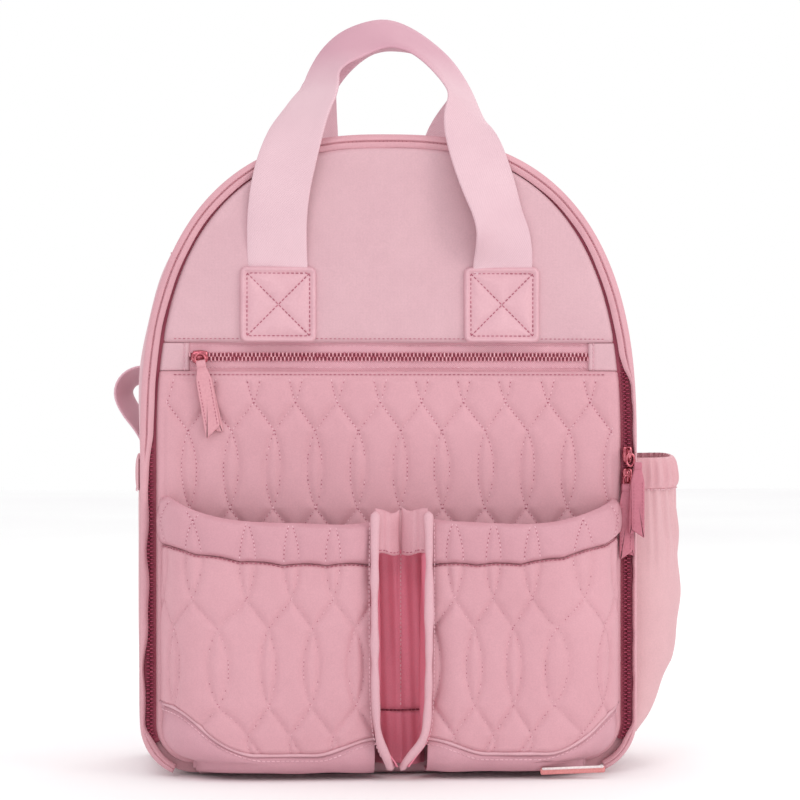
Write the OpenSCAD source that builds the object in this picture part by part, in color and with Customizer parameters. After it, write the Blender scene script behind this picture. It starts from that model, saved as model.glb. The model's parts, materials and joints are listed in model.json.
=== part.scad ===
// Arched clamshell diaper backpack with tote handles.
// Front faces -Y, height runs along +Z, and the origin is the centre of the base's underside.

/* [Bag body] */
// Half width of the front panel, seam to centre
panel_hw = 148; // [140:1:155]
// Height of the front panel's top seam
panel_top = 399; // [380:1:410]
// Height of the front panel's bottom edge
panel_bottom = 8; // [8:1:10]
// Height where the straight sides turn into the arch
spring_z = 205; // [195:1:210]
// Squareness of the arch, 2 is an ellipse
arch_power = 2.6; // [2.2:0.1:3]
// Radius of the front panel's bottom corners
corner_r = 25; // [18:1:30]
// Half depth of the gusset, front edge to back edge
gusset_hd = 60; // [55:1:65]
// Thickness of the padded back panel
back_thick = 8; // [5:1:10]

/* [Front pockets] */
// How far the front pockets stand out from the panel
pocket_depth = 34; // [26:1:38]
// Height of the pocket mouths at the pleat
pocket_top = 165; // [155:1:170]
// Height of the padded cuff round each pocket mouth
cuff_h = 25; // [20:1:30]
// Height of the seam between the quilting and the plain base band
band_top = 24; // [20:1:28]
// Centre of the box pleat between the pockets
pleat_x = 5; // [0:1:8]
// Width of the box pleat between its bindings
pleat_w = 33; // [28:1:36]

/* [Side pocket] */
// How far the open side pocket bulges out
side_bulge = 34; // [22:1:36]
// Height of the side pocket's gathered mouth
side_pocket_top = 202; // [180:1:205]

/* [Zips and pulls] */
// Height of the horizontal front zip
front_zip_z = 265.4; // [264:0.2:267]
// Half length of the front zip
front_zip_half = 128; // [110:1:130]
// Width of a leather pull
pull_w = 10; // [8:1:11]
// Length of a leather pull
pull_len = 52; // [40:1:54]

/* [Handles and straps] */
// Width of the handle webbing
webbing_w = 38; // [36:1:40]
// Thickness of the handle webbing
webbing_t = 3; // [2:0.5:4]
// Height of the front handle's top
handle_top = 479; // [470:1:490]
// Side of a square leather patch
patch_w = 48; // [44:1:50]
// Distance of a front patch's centre from the middle
front_patch_x = 71; // [68:1:74]
// Distance of a rear patch's centre from the middle
rear_patch_x = 47; // [44:1:50]

/* [Hidden] */

blush = "#dda8b4";
blush_light = "#e6becd";
leather_pink = "#d7969f";
wine_metal = "#7a2b3c";
lining_pink = "#c98a99";

// Larger than the bag, for cuts that have no end of their own
far = 500;

// Ratios of the outline's growth at the top and at the bottom to its growth at the sides
top_ratio = 0.6;
bottom_ratio = 0.8;
arch_steps = 26;
corner_steps = 5;

// Offsets from the front panel's seam, outwards, of what goes round it
inner_teeth_d = 2.2;
slot_inner_d = 3.4;
slot_outer_d = 4.6;
outer_teeth_d = 5.8;
guard_d = 7.6;
gusset_in_d = 7.5;
gusset_out_d = 10;
lining_in_d = 5;
lining_out_d = 7;

// Depths, front to back
panel_front_y = -68;
panel_back_y = -58;
lining_front_y = -58;
lining_back_y = -56;
tape_y = -64.3;
tape_t = 1;
teeth_t = 3.2;
back_y = gusset_hd;
strap_y = back_y + back_thick;
pocket_front_y = panel_front_y - pocket_depth;
zip_window = 9;
quilt_top = front_zip_z - zip_window;
upper_bottom = front_zip_z + zip_window;
hinge_y = -62;
hinge_z = 4;
hinge_r = 3;

main_slider_x = panel_hw + (slot_inner_d + slot_outer_d) / 2;
upper_slider_z = 203;
lower_slider_z = 189;
upper_pin_y = -77;
lower_pin_y = -71;
front_slider_x = -120.6;
pin_r = 1.2;
pin_gap = 0.06;

function sgn(v) = v < 0 ? -1 : 1;

// Superellipse arch from the right spring point over the top to the left one
function arch(hw, rise, n) = [for (i = [0:n])
    let (a = 180 * i / n, c = cos(a), s = sin(a))
    [hw * sgn(c) * pow(abs(c), 2 / arch_power), spring_z + rise * pow(abs(s), 2 / arch_power)]];

function corner(cx, cz, r, a0) = [for (i = [0:corner_steps])
    let (a = a0 + 90 * i / corner_steps) [cx + r * cos(a), cz + r * sin(a)]];

// The bag's outline in XZ, grown by d from the front panel's seam
function outline(d) =
    let (hw = panel_hw + d, r = corner_r + d, low = panel_bottom - bottom_ratio * d,
         rise = panel_top + top_ratio * d - spring_z)
    concat(arch(hw, rise, arch_steps), corner(-hw + r, low + r, r, 180),
           corner(hw - r, low + r, r, 270));

// A 2D shape drawn in XZ, thickened from y0 back to y1
module along_y(y0, y1) {
    translate([0, y1, 0]) rotate([90, 0, 0]) linear_extrude(y1 - y0) children();
}

module slab(d, y0, y1) {
    along_y(y0, y1) polygon(outline(d));
}

module ring(d0, d1, y0, y1) {
    along_y(y0, y1) difference() {
        polygon(outline(d1));
        polygon(outline(d0));
    }
}

// Keeps only what lies between two heights
module between_z(z0, z1) {
    intersection() {
        children();
        translate([-far / 2, -far / 2, z0]) cube([far, far, z1 - z0]);
    }
}

module block(x0, x1, y0, y1, z0, z1) {
    translate([x0, y0, z0]) cube([x1 - x0, y1 - y0, z1 - z0]);
}

module rounded_square(w, r) {
    translate([-w / 2 + r, -w / 2]) square([w - 2 * r, w]);
    translate([-w / 2, -w / 2 + r]) square([w, w - 2 * r]);
    for (x = [-1, 1], y = [-1, 1])
        translate([x * (w / 2 - r), y * (w / 2 - r)]) circle(r, $fn = 32);
}

module cylinder_x(x0, x1, y, z, r) {
    translate([x0, y, z]) rotate([0, 90, 0]) cylinder(h = x1 - x0, r = r, $fn = 48);
}

module cylinder_y(x, y0, y1, z, r) {
    translate([x, y1, z]) rotate([90, 0, 0]) cylinder(h = y1 - y0, r = r, $fn = 48);
}

// ---- Bag body ----

// The zip stops above the corners, so what carries it starts here
zip_low_z = 22;

// Height of the seam between the gusset and the base
base_seam_z = 40;

module gusset() {
    color(blush) between_z(base_seam_z, far) ring(gusset_in_d, gusset_out_d, -gusset_hd, gusset_hd);
}

module base_panel() {
    color(blush) between_z(-1, base_seam_z) ring(gusset_in_d, gusset_out_d, -gusset_hd, gusset_hd);
}

// Half width of what lies flat between the bag's bottom corners
flat_half = 112;

board_half_d = 50;
board_z = 4.1;
board_t = 2.5;

module base_board() {
    color("dimgray") block(-flat_half, flat_half, -board_half_d, board_half_d, board_z, board_z + board_t);
}

module back_panel() {
    color(blush) slab(gusset_out_d, back_y, strap_y);
}

piping_foot_z = 6;
piping_r = 1.4;
piping_half_d = 2;

module back_piping() {
    color(blush_light) intersection() {
        ring(gusset_out_d, gusset_out_d + piping_r, back_y - piping_half_d, back_y + piping_half_d);
        block(-far / 2, far / 2, 0, far, piping_foot_z, far);
    }
}

// Depth of the lining's back sheet, which stands a little off the back panel
lining_gap = 0.4;
lining_t = 2;
lining_sheet_y = back_y - lining_gap - lining_t;

module body_lining() {
    color(lining_pink) difference() {
        slab(lining_out_d, -gusset_hd + 1, back_y - lining_gap);
        slab(lining_in_d, -gusset_hd, lining_sheet_y);
    }
}

organizer_d = 8.5;
organizer_z0 = 38;
organizer_z1 = 190;
organizer_seam = 3;
organizer_t = 1.6;

module organizer_pocket() {
    back = lining_sheet_y - 0.1;
    front = back - organizer_d;
    mouth_half = flat_half - organizer_seam;
    color(lining_pink) difference() {
        block(-flat_half, flat_half, front, back, organizer_z0, organizer_z1);
        block(-mouth_half, mouth_half, front + organizer_t, back + 1,
              organizer_z0 + organizer_seam, organizer_z1 + 1);
    }
}

guard_front_y = -66.5;

module zip_guard() {
    color(blush_light) between_z(zip_low_z, far) ring(guard_d, gusset_out_d, guard_front_y, -gusset_hd);
}

module main_zip_outer_tape() {
    color(leather_pink) between_z(zip_low_z, far)
        ring(outer_teeth_d, guard_d, tape_y - tape_t / 2, tape_y + tape_t / 2);
}

module main_zip_outer_teeth() {
    color(wine_metal) between_z(zip_low_z, far)
        ring(slot_outer_d, outer_teeth_d, tape_y - teeth_t / 2, tape_y + teeth_t / 2);
}

hinge_tape_z = 0.6;
hinge_tape_t = 2.4;

// Rolled edge that the front panel folds down over
module hinge_piping() {
    color(blush) {
        cylinder_x(-flat_half, flat_half, hinge_y, hinge_z, hinge_r);
        block(-flat_half, flat_half, hinge_y, -gusset_hd, hinge_tape_z, hinge_tape_z + hinge_tape_t);
    }
}

// ---- Side pockets ----

// Half of a squashed circle bulging towards +X, seen from above
bulge_power = 0.8;
function bulge(depth, half, n = 16) = [for (i = [0:n])
    let (a = -90 + 180 * i / n) [depth * pow(cos(a), bulge_power), half * sin(a)]];

side_x = panel_hw + gusset_out_d;
side_half = 50;
side_bottom = 24;
wall = 2;
elastic_h = 20;

module side_cup(depth, half, z0, z1) {
    translate([side_x, 0, z0]) linear_extrude(z1 - z0) polygon(bulge(depth, half));
}

module side_pocket_right() {
    color(blush) difference() {
        side_cup(side_bulge, side_half, side_bottom, side_pocket_top - elastic_h);
        side_cup(side_bulge - wall, side_half - wall, side_bottom + wall, side_pocket_top);
    }
}

module pocket_elastic_right() {
    color(blush_light) difference() {
        side_cup(side_bulge - 1, side_half - 1, side_pocket_top - elastic_h, side_pocket_top);
        side_cup(side_bulge - 1 - wall, side_half - 1 - wall, side_pocket_top - elastic_h - 1,
                 side_pocket_top + 1);
    }
}

// The empty left pocket is held flat by its elastic
module side_pocket_left() {
    color(blush) block(-side_x - wall, -side_x, -side_half, side_half, side_bottom,
                       side_pocket_top - elastic_h);
}

module pocket_elastic_left() {
    color(blush_light) block(-side_x - wall - 1, -side_x, -side_half, side_half,
                             side_pocket_top - elastic_h, side_pocket_top);
}

// ---- Shoulder straps ----

pad_t = 10;
pad_top_z = 320;
pad_low_z = 165;
strap_web_t = 2.4;
strap_web_w = 25;
strap_web_y = strap_y + 3;
yoke_half = 104;
yoke_h = 14;
yoke_t = 3;
pad_gap = 0.4;

module strap_yoke() {
    color(blush) block(-yoke_half, yoke_half, strap_y, strap_y + yoke_t, pad_top_z, pad_top_z + yoke_h);
}

// The right pad's outline, from its sewn end down its outer edge and back up
pad_end_z = pad_top_z - pad_gap;
pad_outline = [[34, pad_end_z], [96, pad_end_z], [112, 270], [119, 225], [118, 180],
    [112, pad_low_z], [78, pad_low_z], [68, 178], [60, 225], [50, 270]];

// Padded strap, side is 1 on the right and -1 on the left
module shoulder_pad(side) {
    color(blush) along_y(strap_y + pad_gap, strap_y + pad_t)
        polygon([for (p = pad_outline) [side * p[0], p[1]]]);
}

module shoulder_pad_left() { shoulder_pad(-1); }
module shoulder_pad_right() { shoulder_pad(1); }

// A strip of thickness t that follows a route in XZ
function normal_at(p, i) =
    let (a = p[max(i - 1, 0)], b = p[min(i + 1, len(p) - 1)], d = b - a, l = norm(d))
    [-d[1] / l, d[0] / l];
function strip(p, t) = concat([for (i = [0:len(p) - 1]) p[i] + normal_at(p, i) * t / 2],
    [for (i = [len(p) - 1:-1:0]) p[i] - normal_at(p, i) * t / 2]);

// The left strap stands out past the bag's side in a slack loop, the right one hangs straight
left_route = [[-104, 164], [-108, 157], [-115, 153], [-123, 156], [-127, 166], [-131, 190],
    [-136, 220], [-142, 243], [-150, 254], [-160, 256], [-169, 252], [-173, 243], [-168, 232],
    [-158, 219], [-149, 200], [-143, 175], [-136, 148], [-130, 130], [-130, 48]];
right_route = [[104, 164], [108, 154], [117, 144], [126, 136], [130, 128], [130, 48]];

module shoulder_webbing(route) {
    color(blush_light) along_y(strap_web_y, strap_web_y + strap_web_w) polygon(strip(route, strap_web_t));
}

module shoulder_webbing_left() { shoulder_webbing(left_route); }
module shoulder_webbing_right() { shoulder_webbing(right_route); }

// The straight webbing below the pads, where its anchors and adjusters sit
tail_x = 130;
anchor_half = 5;
anchor_z0 = 26;
anchor_z1 = 48;

module strap_anchor(side) {
    color(leather_pink) translate([side * tail_x, 0, 0])
        block(-anchor_half, anchor_half, strap_y, strap_web_y + strap_web_w, anchor_z0, anchor_z1);
}

module strap_anchor_left() { strap_anchor(-1); }
module strap_anchor_right() { strap_anchor(1); }

// Three-bar buckle that the webbing threads through
bar_r = 1.5;
bar_gap = 0.4;
adjuster_z = 110;
bar_pitch = 9;
cheek_t = 2;
cheek_half = 12;
cheek_gap = 0.6;

module strap_adjuster(side) {
    x = side * tail_x;
    reach = strap_web_t / 2 + bar_gap + bar_r;
    y0 = strap_web_y - cheek_gap;
    y1 = strap_web_y + strap_web_w + cheek_gap;
    color(wine_metal) {
        for (z = [adjuster_z - bar_pitch, adjuster_z + bar_pitch])
            cylinder_y(x + side * reach, y0, y1, z, bar_r);
        cylinder_y(x - side * reach, y0, y1, adjuster_z, bar_r);
        for (y = [y0 - cheek_t, y1])
            block(x - reach - bar_r, x + reach + bar_r, y, y + cheek_t,
                  adjuster_z - cheek_half, adjuster_z + cheek_half);
    }
}

module strap_adjuster_left() { strap_adjuster(-1); }
module strap_adjuster_right() { strap_adjuster(1); }

// ---- Side rings ----

ring_x = 132;
ring_pin_z = 322;
ring_y = strap_y + 7;
ring_wire_r = 1.6;
ring_half = 12;
ring_straight = 8;
tab_half = 8;
tab_r = 3.6;
tab_t = 3;
tab_rise = 16;

// Leather tab rolled round the ring's straight bar
module ring_tab(side) {
    color(leather_pink) translate([side * ring_x, 0, 0]) difference() {
        union() {
            cylinder_x(-tab_half, tab_half, ring_y, ring_pin_z, tab_r);
            block(-tab_half, tab_half, strap_y, ring_y + 1, ring_pin_z, ring_pin_z + tab_r);
            block(-tab_half, tab_half, strap_y, strap_y + tab_t, ring_pin_z, ring_pin_z + tab_rise);
        }
        cylinder_x(-tab_half - 1, tab_half + 1, ring_y, ring_pin_z, ring_wire_r + pin_gap);
    }
}

module ring_tab_left() { ring_tab(-1); }
module ring_tab_right() { ring_tab(1); }

module side_ring(side) {
    color(wine_metal) translate([side * ring_x, ring_y, ring_pin_z]) {
        cylinder_x(-ring_half, ring_half, 0, 0, ring_wire_r);
        for (x = [-ring_half, ring_half]) {
            translate([x, 0, -ring_straight]) cylinder(h = ring_straight, r = ring_wire_r, $fn = 32);
            translate([x, 0, 0]) sphere(ring_wire_r, $fn = 32);
        }
        translate([0, 0, -ring_straight]) rotate([90, 0, 0]) intersection() {
            rotate_extrude($fn = 64) translate([ring_half, 0]) circle(ring_wire_r, $fn = 24);
            translate([-20, -20, -5]) cube([40, 20, 10]);
        }
    }
}

module side_ring_left() { side_ring(-1); }
module side_ring_right() { side_ring(1); }

// ---- Front panel ----

module upper_front_panel() {
    color(blush) between_z(upper_bottom, far) slab(0, panel_front_y, panel_back_y);
}

// The front zip pocket's inside
zip_pocket_half = 126;
zip_pocket_y = -64;
zip_pocket_z = 40;

module quilted_front_panel() {
    color(blush) difference() {
        between_z(0, quilt_top) slab(0, panel_front_y, panel_back_y);
        block(-zip_pocket_half, zip_pocket_half, zip_pocket_y, panel_back_y + 1,
              zip_pocket_z, quilt_top + 1);
    }
}

module panel_lining() {
    color(lining_pink) slab(-2, lining_front_y, lining_back_y);
}

module main_zip_inner_tape() {
    color(leather_pink) between_z(zip_low_z, far)
        ring(0, inner_teeth_d, tape_y - tape_t / 2, tape_y + tape_t / 2);
}

module main_zip_inner_teeth() {
    color(wine_metal) between_z(zip_low_z, far)
        ring(inner_teeth_d, slot_inner_d, tape_y - teeth_t / 2, tape_y + teeth_t / 2);
}

front_slot = 0.5;
tooth_h = 2.2;

module front_zip_tapes() {
    color(leather_pink) for (side = [-1, 1]) {
        lo = front_slot + tooth_h;
        z0 = side > 0 ? front_zip_z + lo : quilt_top;
        z1 = side > 0 ? upper_bottom : front_zip_z - lo;
        block(-front_zip_half, front_zip_half, tape_y - tape_t / 2, tape_y + tape_t / 2, z0, z1);
    }
}

module front_zip_teeth(side) {
    z0 = side > 0 ? front_zip_z + front_slot : front_zip_z - front_slot - tooth_h;
    color(wine_metal) block(-front_zip_half, front_zip_half, tape_y - teeth_t / 2,
                            tape_y + teeth_t / 2, z0, z0 + tooth_h);
}

module front_zip_teeth_upper() { front_zip_teeth(1); }
module front_zip_teeth_lower() { front_zip_teeth(-1); }

module front_zip_end_tabs() {
    color(blush) difference() {
        between_z(quilt_top, upper_bottom) slab(0, panel_front_y + 1, panel_back_y);
        block(-front_zip_half, front_zip_half, -far, 0, quilt_top - 1, upper_bottom + 1);
    }
}

// Front pockets, seen from above: flat against the panel outside, proud at the pleat
pocket_outer_x = 143;
pleat_left = pleat_x - pleat_w / 2;
pleat_right = pleat_x + pleat_w / 2;

// Width and squareness of a pocket's rounded outer side
shoulder_w = 46;
shoulder_power = 0.6;

function pocket_plan(x_out, x_in, inset, n = 10) =
    let (s = sgn(x_out - x_in), xo = x_out - s * inset, xi = x_in + s * inset,
         front = pocket_front_y + inset, back = panel_front_y)
    concat([[xi, back], [xi, front]],
           [for (i = [0:n]) let (a = 90 * i / n)
               [xo - s * shoulder_w * (1 - sin(a)), back - (back - front) * pow(cos(a), shoulder_power)]]);

// Everything under a mouth's height, which rises towards the outer side
module mouth_line(side, z_in, rise) {
    reach = pocket_outer_x + abs(pleat_x) + 5;
    turn = reach * 0.45;
    shoulder = reach * 0.62;
    translate([pleat_x, 0, 0]) mirror([side < 0 ? 1 : 0, 0, 0])
        along_y(-far, 0) polygon([[0, 0], [reach, 0], [reach, z_in + rise],
            [shoulder, z_in + rise * 0.3], [turn, z_in], [0, z_in]]);
}

// A pocket's wall between two insets, taller than any mouth
wall_top = 200;

module pocket_shell(side, inset_out, inset_in) {
    x_in = side > 0 ? pleat_right : pleat_left;
    difference() {
        translate([0, 0, band_top]) linear_extrude(wall_top - band_top)
            polygon(pocket_plan(side * pocket_outer_x, x_in, inset_out));
        translate([0, 0, band_top - 1]) linear_extrude(wall_top)
            polygon(pocket_plan(side * pocket_outer_x, x_in, inset_in));
    }
}

mouth_rise = 15;
cloth_inset = 1;
cloth_t = 3;
cuff_t = 5;

module front_pocket(side) {
    color(blush) intersection() {
        pocket_shell(side, cloth_inset, cloth_inset + cloth_t);
        mouth_line(side, pocket_top - cuff_h, mouth_rise);
    }
}

module pocket_cuff(side) {
    color(blush) difference() {
        intersection() {
            pocket_shell(side, 0, cuff_t);
            mouth_line(side, pocket_top, mouth_rise);
        }
        mouth_line(side, pocket_top - cuff_h, mouth_rise);
    }
}

module base_band(side) {
    x_in = side > 0 ? pleat_right : pleat_left;
    color(blush) difference() {
        translate([0, 0, panel_bottom]) linear_extrude(band_top - panel_bottom)
            polygon(pocket_plan(side * pocket_outer_x, x_in, cloth_inset));
        translate([0, 0, panel_bottom + cloth_t]) linear_extrude(band_top)
            polygon(pocket_plan(side * pocket_outer_x, x_in, cloth_inset + cloth_t));
    }
}

module front_pocket_left() { front_pocket(-1); }
module front_pocket_right() { front_pocket(1); }
module pocket_cuff_left() { pocket_cuff(-1); }
module pocket_cuff_right() { pocket_cuff(1); }
module base_band_left() { base_band(-1); }
module base_band_right() { base_band(1); }

pleat_t = 2;

module pleat_back() {
    color("#aa4b5f") block(pleat_left, pleat_right, panel_front_y - pleat_t, panel_front_y,
                           panel_bottom, pocket_top);
}

binding_r = 3;

module pleat_bindings() {
    color(blush_light) for (x = [pleat_left, pleat_right])
        translate([x, pocket_front_y - binding_r, panel_bottom])
            cylinder(h = pocket_top - panel_bottom, r = binding_r, $fn = 32);
}

// Blank tag below the right base band
tag_x0 = 92;
tag_x1 = 134;
tag_y = pocket_front_y + 4;
tag_t = 4;
tag_z = 3;

module label_tag() {
    color(leather_pink) block(tag_x0, tag_x1, tag_y, tag_y + tag_t, tag_z, panel_bottom);
}

front_patch_z = 298.4;
rear_patch_z = 361;
patch_t = 3;
patch_r = 4;

module front_patch(side) {
    color(leather_pink) translate([side * front_patch_x, 0, front_patch_z])
        along_y(panel_front_y - patch_t, panel_front_y) rounded_square(patch_w, patch_r);
}

module rear_patch(side) {
    color(leather_pink) translate([side * rear_patch_x, 0, rear_patch_z])
        along_y(strap_y, strap_y + patch_t) rounded_square(patch_w, patch_r);
}

module front_patch_left() { front_patch(-1); }
module front_patch_right() { front_patch(1); }
module rear_patch_left() { rear_patch(-1); }
module rear_patch_right() { rear_patch(1); }

// ---- Zip sliders and pulls ----

// Half sizes of a slider's plates along the zip, and the depths of their faces
plate_half = 5.5;
web_half = 4.5;
web_half_t = 0.25;
plate_back_y = -66.4;
web_front_y = -66.5;

// The front slider's stud, on which its pull turns
stud_r = 1.5;
stud_head_r = 2.6;
stud_head_y = -76;

// Two plates joined by a thin web in the slot between the rows of teeth
module front_zip_slider() {
    color(wine_metal) translate([front_slider_x, 0, front_zip_z]) {
        block(-plate_half, plate_half, -68.6, plate_back_y, -4, 4);
        block(-web_half, web_half, web_front_y, -62, -web_half_t, web_half_t);
        block(-plate_half, plate_half, -62.2, -60.8, -3.5, 3.5);
        cylinder_y(0, stud_head_y, -68.5, 0, stud_r);
        cylinder_y(0, stud_head_y - 1, stud_head_y, 0, stud_head_r);
    }
}

// A pull starts this far below its pin and ends in a slant
pull_start = 3;
pull_slant = 0.8;

// Folded leather strip with a slanted end, hanging below its eye
module pull_tab(y0, y1, len) {
    half = pull_w / 2;
    along_y(y0, y1) polygon([[-half, -pull_start], [half, -pull_start], [half, -len],
                             [-half, -len + pull_w * pull_slant]]);
}

main_pull_w = 8;
main_pull_gap = 0.25;

// The two main pulls hang beside each other, one to each side of their sliders' middle
module main_pull_tab(side, y0, y1, len) {
    mirror([side < 0 ? 1 : 0, 0, 0]) translate([main_pull_gap, 0, 0])
        along_y(y0, y1) polygon([[0, -pull_start], [3, -pull_start], [main_pull_w, -8],
            [main_pull_w, -len], [0, -len + main_pull_w * pull_slant]]);
}

front_pull_tilt = -10;
front_pull_y0 = -75.6;
front_pull_y1 = -72.4;
front_eye_r = 4.2;

module front_zip_pull() {
    color(leather_pink) translate([front_slider_x, 0, front_zip_z]) rotate([0, front_pull_tilt, 0])
        difference() {
            union() {
                pull_tab(front_pull_y0, front_pull_y1, pull_len);
                cylinder_y(0, front_pull_y0, front_pull_y1, 0, front_eye_r);
            }
            cylinder_y(0, front_pull_y0 - 1, front_pull_y1 + 1, 0, stud_r + pin_gap);
        }
}

// The main sliders' plates, from the middle of the slot towards the bag's middle and outwards
main_in = 3.6;
main_out = 3.2;
main_plate_y = -68.2;
main_back_y = -61.8;
cheek_w = 1.3;

module main_slider(z, pin_y) {
    color(wine_metal) translate([main_slider_x, 0, z]) {
        block(-main_in, main_out, main_plate_y, plate_back_y, -plate_half, plate_half);
        block(-web_half_t, web_half_t, web_front_y, main_back_y, -web_half, web_half);
        block(-main_in, web_half_t, main_back_y, -60.4, -web_half, web_half);
        for (x = [-3.1, 1.4])
            block(x, x + cheek_w, pin_y - 2, main_plate_y, -2, 2);
        cylinder_x(-3, 2.6, pin_y, 0, pin_r);
    }
}

main_eye_half = 1.4;
main_eye_r = 2.4;
main_pull_half_t = 1.4;

module main_pull(z, pin_y, side) {
    y0 = pin_y - main_pull_half_t;
    y1 = pin_y + main_pull_half_t;
    color(leather_pink) translate([main_slider_x - 0.2, 0, z]) difference() {
        union() {
            translate([0.2, 0, 0]) main_pull_tab(side, y0, y1, pull_len);
            cylinder_x(-main_eye_half, main_eye_half, pin_y, 0, main_eye_r);
            block(-main_eye_half, main_eye_half, y0, y1, -4, 0);
        }
        cylinder_x(-3, 3, pin_y, 0, pin_r + pin_gap);
    }
}

module upper_main_slider() { main_slider(upper_slider_z, upper_pin_y); }
module upper_main_pull() { main_pull(upper_slider_z, upper_pin_y, 1); }
module lower_main_slider() { main_slider(lower_slider_z, lower_pin_y); }
module lower_main_pull() { main_pull(lower_slider_z, lower_pin_y, -1); }

// ---- Tote handles ----

lean_z = 408;
lean_angle = 32;
edge_step = 0.6;
arch_overlap = 3;
arch_web = 24;
arch_power_out = 1.2;

module handle_leg(x, foot_z, y0, top_shift) {
    half = webbing_w / 2;
    cylinder_x(x - half, x + half, y0 + webbing_t / 2, foot_z, webbing_t / 2);
    along_y(y0, y0 + webbing_t) polygon([[x - half, foot_z], [x + half, foot_z],
        [x + half - edge_step - top_shift, lean_z], [x - half + edge_step - top_shift, lean_z]]);
}

// The arch leans back over the bag, so it is drawn flat and tilted about the leg's top
module handle_arch(x, y0, back) {
    rise = (handle_top - lean_z) / cos(lean_angle);
    inner_rise = rise - arch_web;
    outer = x + webbing_w / 2;
    inner = x - webbing_w / 2;
    steps = 10;
    near = back > 0 ? 0 : -webbing_t;
    low = lean_z - arch_overlap;
    translate([0, y0 - near, lean_z]) rotate([-back * lean_angle, 0, 0]) translate([0, 0, -lean_z])
        along_y(near, near + webbing_t) polygon(concat(
            [[outer, low]],
            [for (i = [0:steps * 2]) let (a = 90 * i / steps)
                [outer * sgn(cos(a)) * pow(abs(cos(a)), arch_power_out), lean_z + rise * sin(a)]],
            [[-outer, low], [-inner, low]],
            [for (i = [steps * 2:-1:0]) let (a = 90 * i / steps)
                [inner * cos(a), lean_z + inner_rise * sin(a)]],
            [[inner, low]]));
}

// Each leg folds down about its round foot, just in front of its patch's top edge
foot_overlap = 4;
fold_gap = 0.3;
front_foot_z = front_patch_z + patch_w / 2 - foot_overlap;
rear_foot_z = rear_patch_z + patch_w / 2 - foot_overlap;
front_handle_y = panel_front_y - patch_t - fold_gap - webbing_t;
rear_handle_y = strap_y + patch_t + fold_gap;

// How far the legs' tops shift towards the middle, or outwards on the rear handle
front_lean_in = 6;
rear_lean_out = 8;

module front_handle() {
    color(blush_light) {
        handle_leg(front_patch_x, front_foot_z, front_handle_y, front_lean_in);
        handle_leg(-front_patch_x, front_foot_z, front_handle_y, -front_lean_in);
        handle_arch(front_patch_x - front_lean_in, front_handle_y, 1);
    }
}

module rear_handle() {
    color(blush_light) {
        handle_leg(rear_patch_x, rear_foot_z, rear_handle_y, -rear_lean_out);
        handle_leg(-rear_patch_x, rear_foot_z, rear_handle_y, rear_lean_out);
        handle_arch(rear_patch_x + rear_lean_out, rear_handle_y, -1);
    }
}

gusset();
base_panel();
base_board();
back_panel();
back_piping();
body_lining();
organizer_pocket();
zip_guard();
main_zip_outer_tape();
main_zip_outer_teeth();
hinge_piping();
side_pocket_right();
side_pocket_left();
pocket_elastic_right();
pocket_elastic_left();
strap_yoke();
shoulder_pad_left();
shoulder_pad_right();
shoulder_webbing_left();
shoulder_webbing_right();
strap_anchor_left();
strap_anchor_right();
ring_tab_left();
ring_tab_right();
rear_patch_left();
rear_patch_right();
upper_front_panel();
quilted_front_panel();
panel_lining();
main_zip_inner_tape();
main_zip_inner_teeth();
front_zip_tapes();
front_zip_teeth_upper();
front_zip_teeth_lower();
front_zip_end_tabs();
front_pocket_left();
front_pocket_right();
pocket_cuff_left();
pocket_cuff_right();
base_band_left();
base_band_right();
pleat_back();
pleat_bindings();
label_tag();
front_patch_left();
front_patch_right();
front_zip_slider();
front_zip_pull();
upper_main_slider();
upper_main_pull();
lower_main_slider();
lower_main_pull();
front_handle();
rear_handle();
strap_adjuster_left();
strap_adjuster_right();
side_ring_left();
side_ring_right();
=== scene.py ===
import json
import math
import bpy
import numpy as np
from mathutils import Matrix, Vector


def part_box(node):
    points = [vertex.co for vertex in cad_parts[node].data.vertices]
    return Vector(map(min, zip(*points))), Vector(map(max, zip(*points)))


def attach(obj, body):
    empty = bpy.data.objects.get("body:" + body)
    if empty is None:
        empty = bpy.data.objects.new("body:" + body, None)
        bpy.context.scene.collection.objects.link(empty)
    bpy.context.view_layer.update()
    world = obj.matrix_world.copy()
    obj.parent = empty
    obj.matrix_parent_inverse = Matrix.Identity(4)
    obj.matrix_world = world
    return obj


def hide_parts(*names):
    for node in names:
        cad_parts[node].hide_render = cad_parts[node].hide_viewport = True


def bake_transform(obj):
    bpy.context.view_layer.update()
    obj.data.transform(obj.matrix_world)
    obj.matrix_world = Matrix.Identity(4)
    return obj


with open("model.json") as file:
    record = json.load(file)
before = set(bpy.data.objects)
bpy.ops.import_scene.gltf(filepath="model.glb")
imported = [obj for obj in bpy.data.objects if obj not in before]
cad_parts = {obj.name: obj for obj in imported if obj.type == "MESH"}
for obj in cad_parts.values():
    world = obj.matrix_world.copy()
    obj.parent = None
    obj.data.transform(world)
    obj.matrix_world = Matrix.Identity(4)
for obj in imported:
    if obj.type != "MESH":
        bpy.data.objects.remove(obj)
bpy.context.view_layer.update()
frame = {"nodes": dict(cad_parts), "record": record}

# All shapes are worked out in millimetres and scaled once, when a mesh is made.
MM = 0.001

# The main view: its middle at the front panel, its width, its lens and the camera's turn round the bag.
VIEW_X, VIEW_Z, VIEW_W, LENS = 6.35, 238.0, 508.0, 135.0
VIEW_AWAY = VIEW_W / 36.0 * LENS
VIEW_TURN = math.radians(-4.0)


def span(node):
    """Lowest and highest corner of a CAD node, in millimetres."""
    lo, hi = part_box(node)
    return np.array(lo) / MM, np.array(hi) / MM


def smooth(t):
    """Smooth step of t clipped to 0..1."""
    t = np.clip(t, 0.0, 1.0)
    return t * t * (3 - 2 * t)


def unit(v):
    return v / np.maximum(np.linalg.norm(v, axis=-1, keepdims=True), 1e-9)


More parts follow.
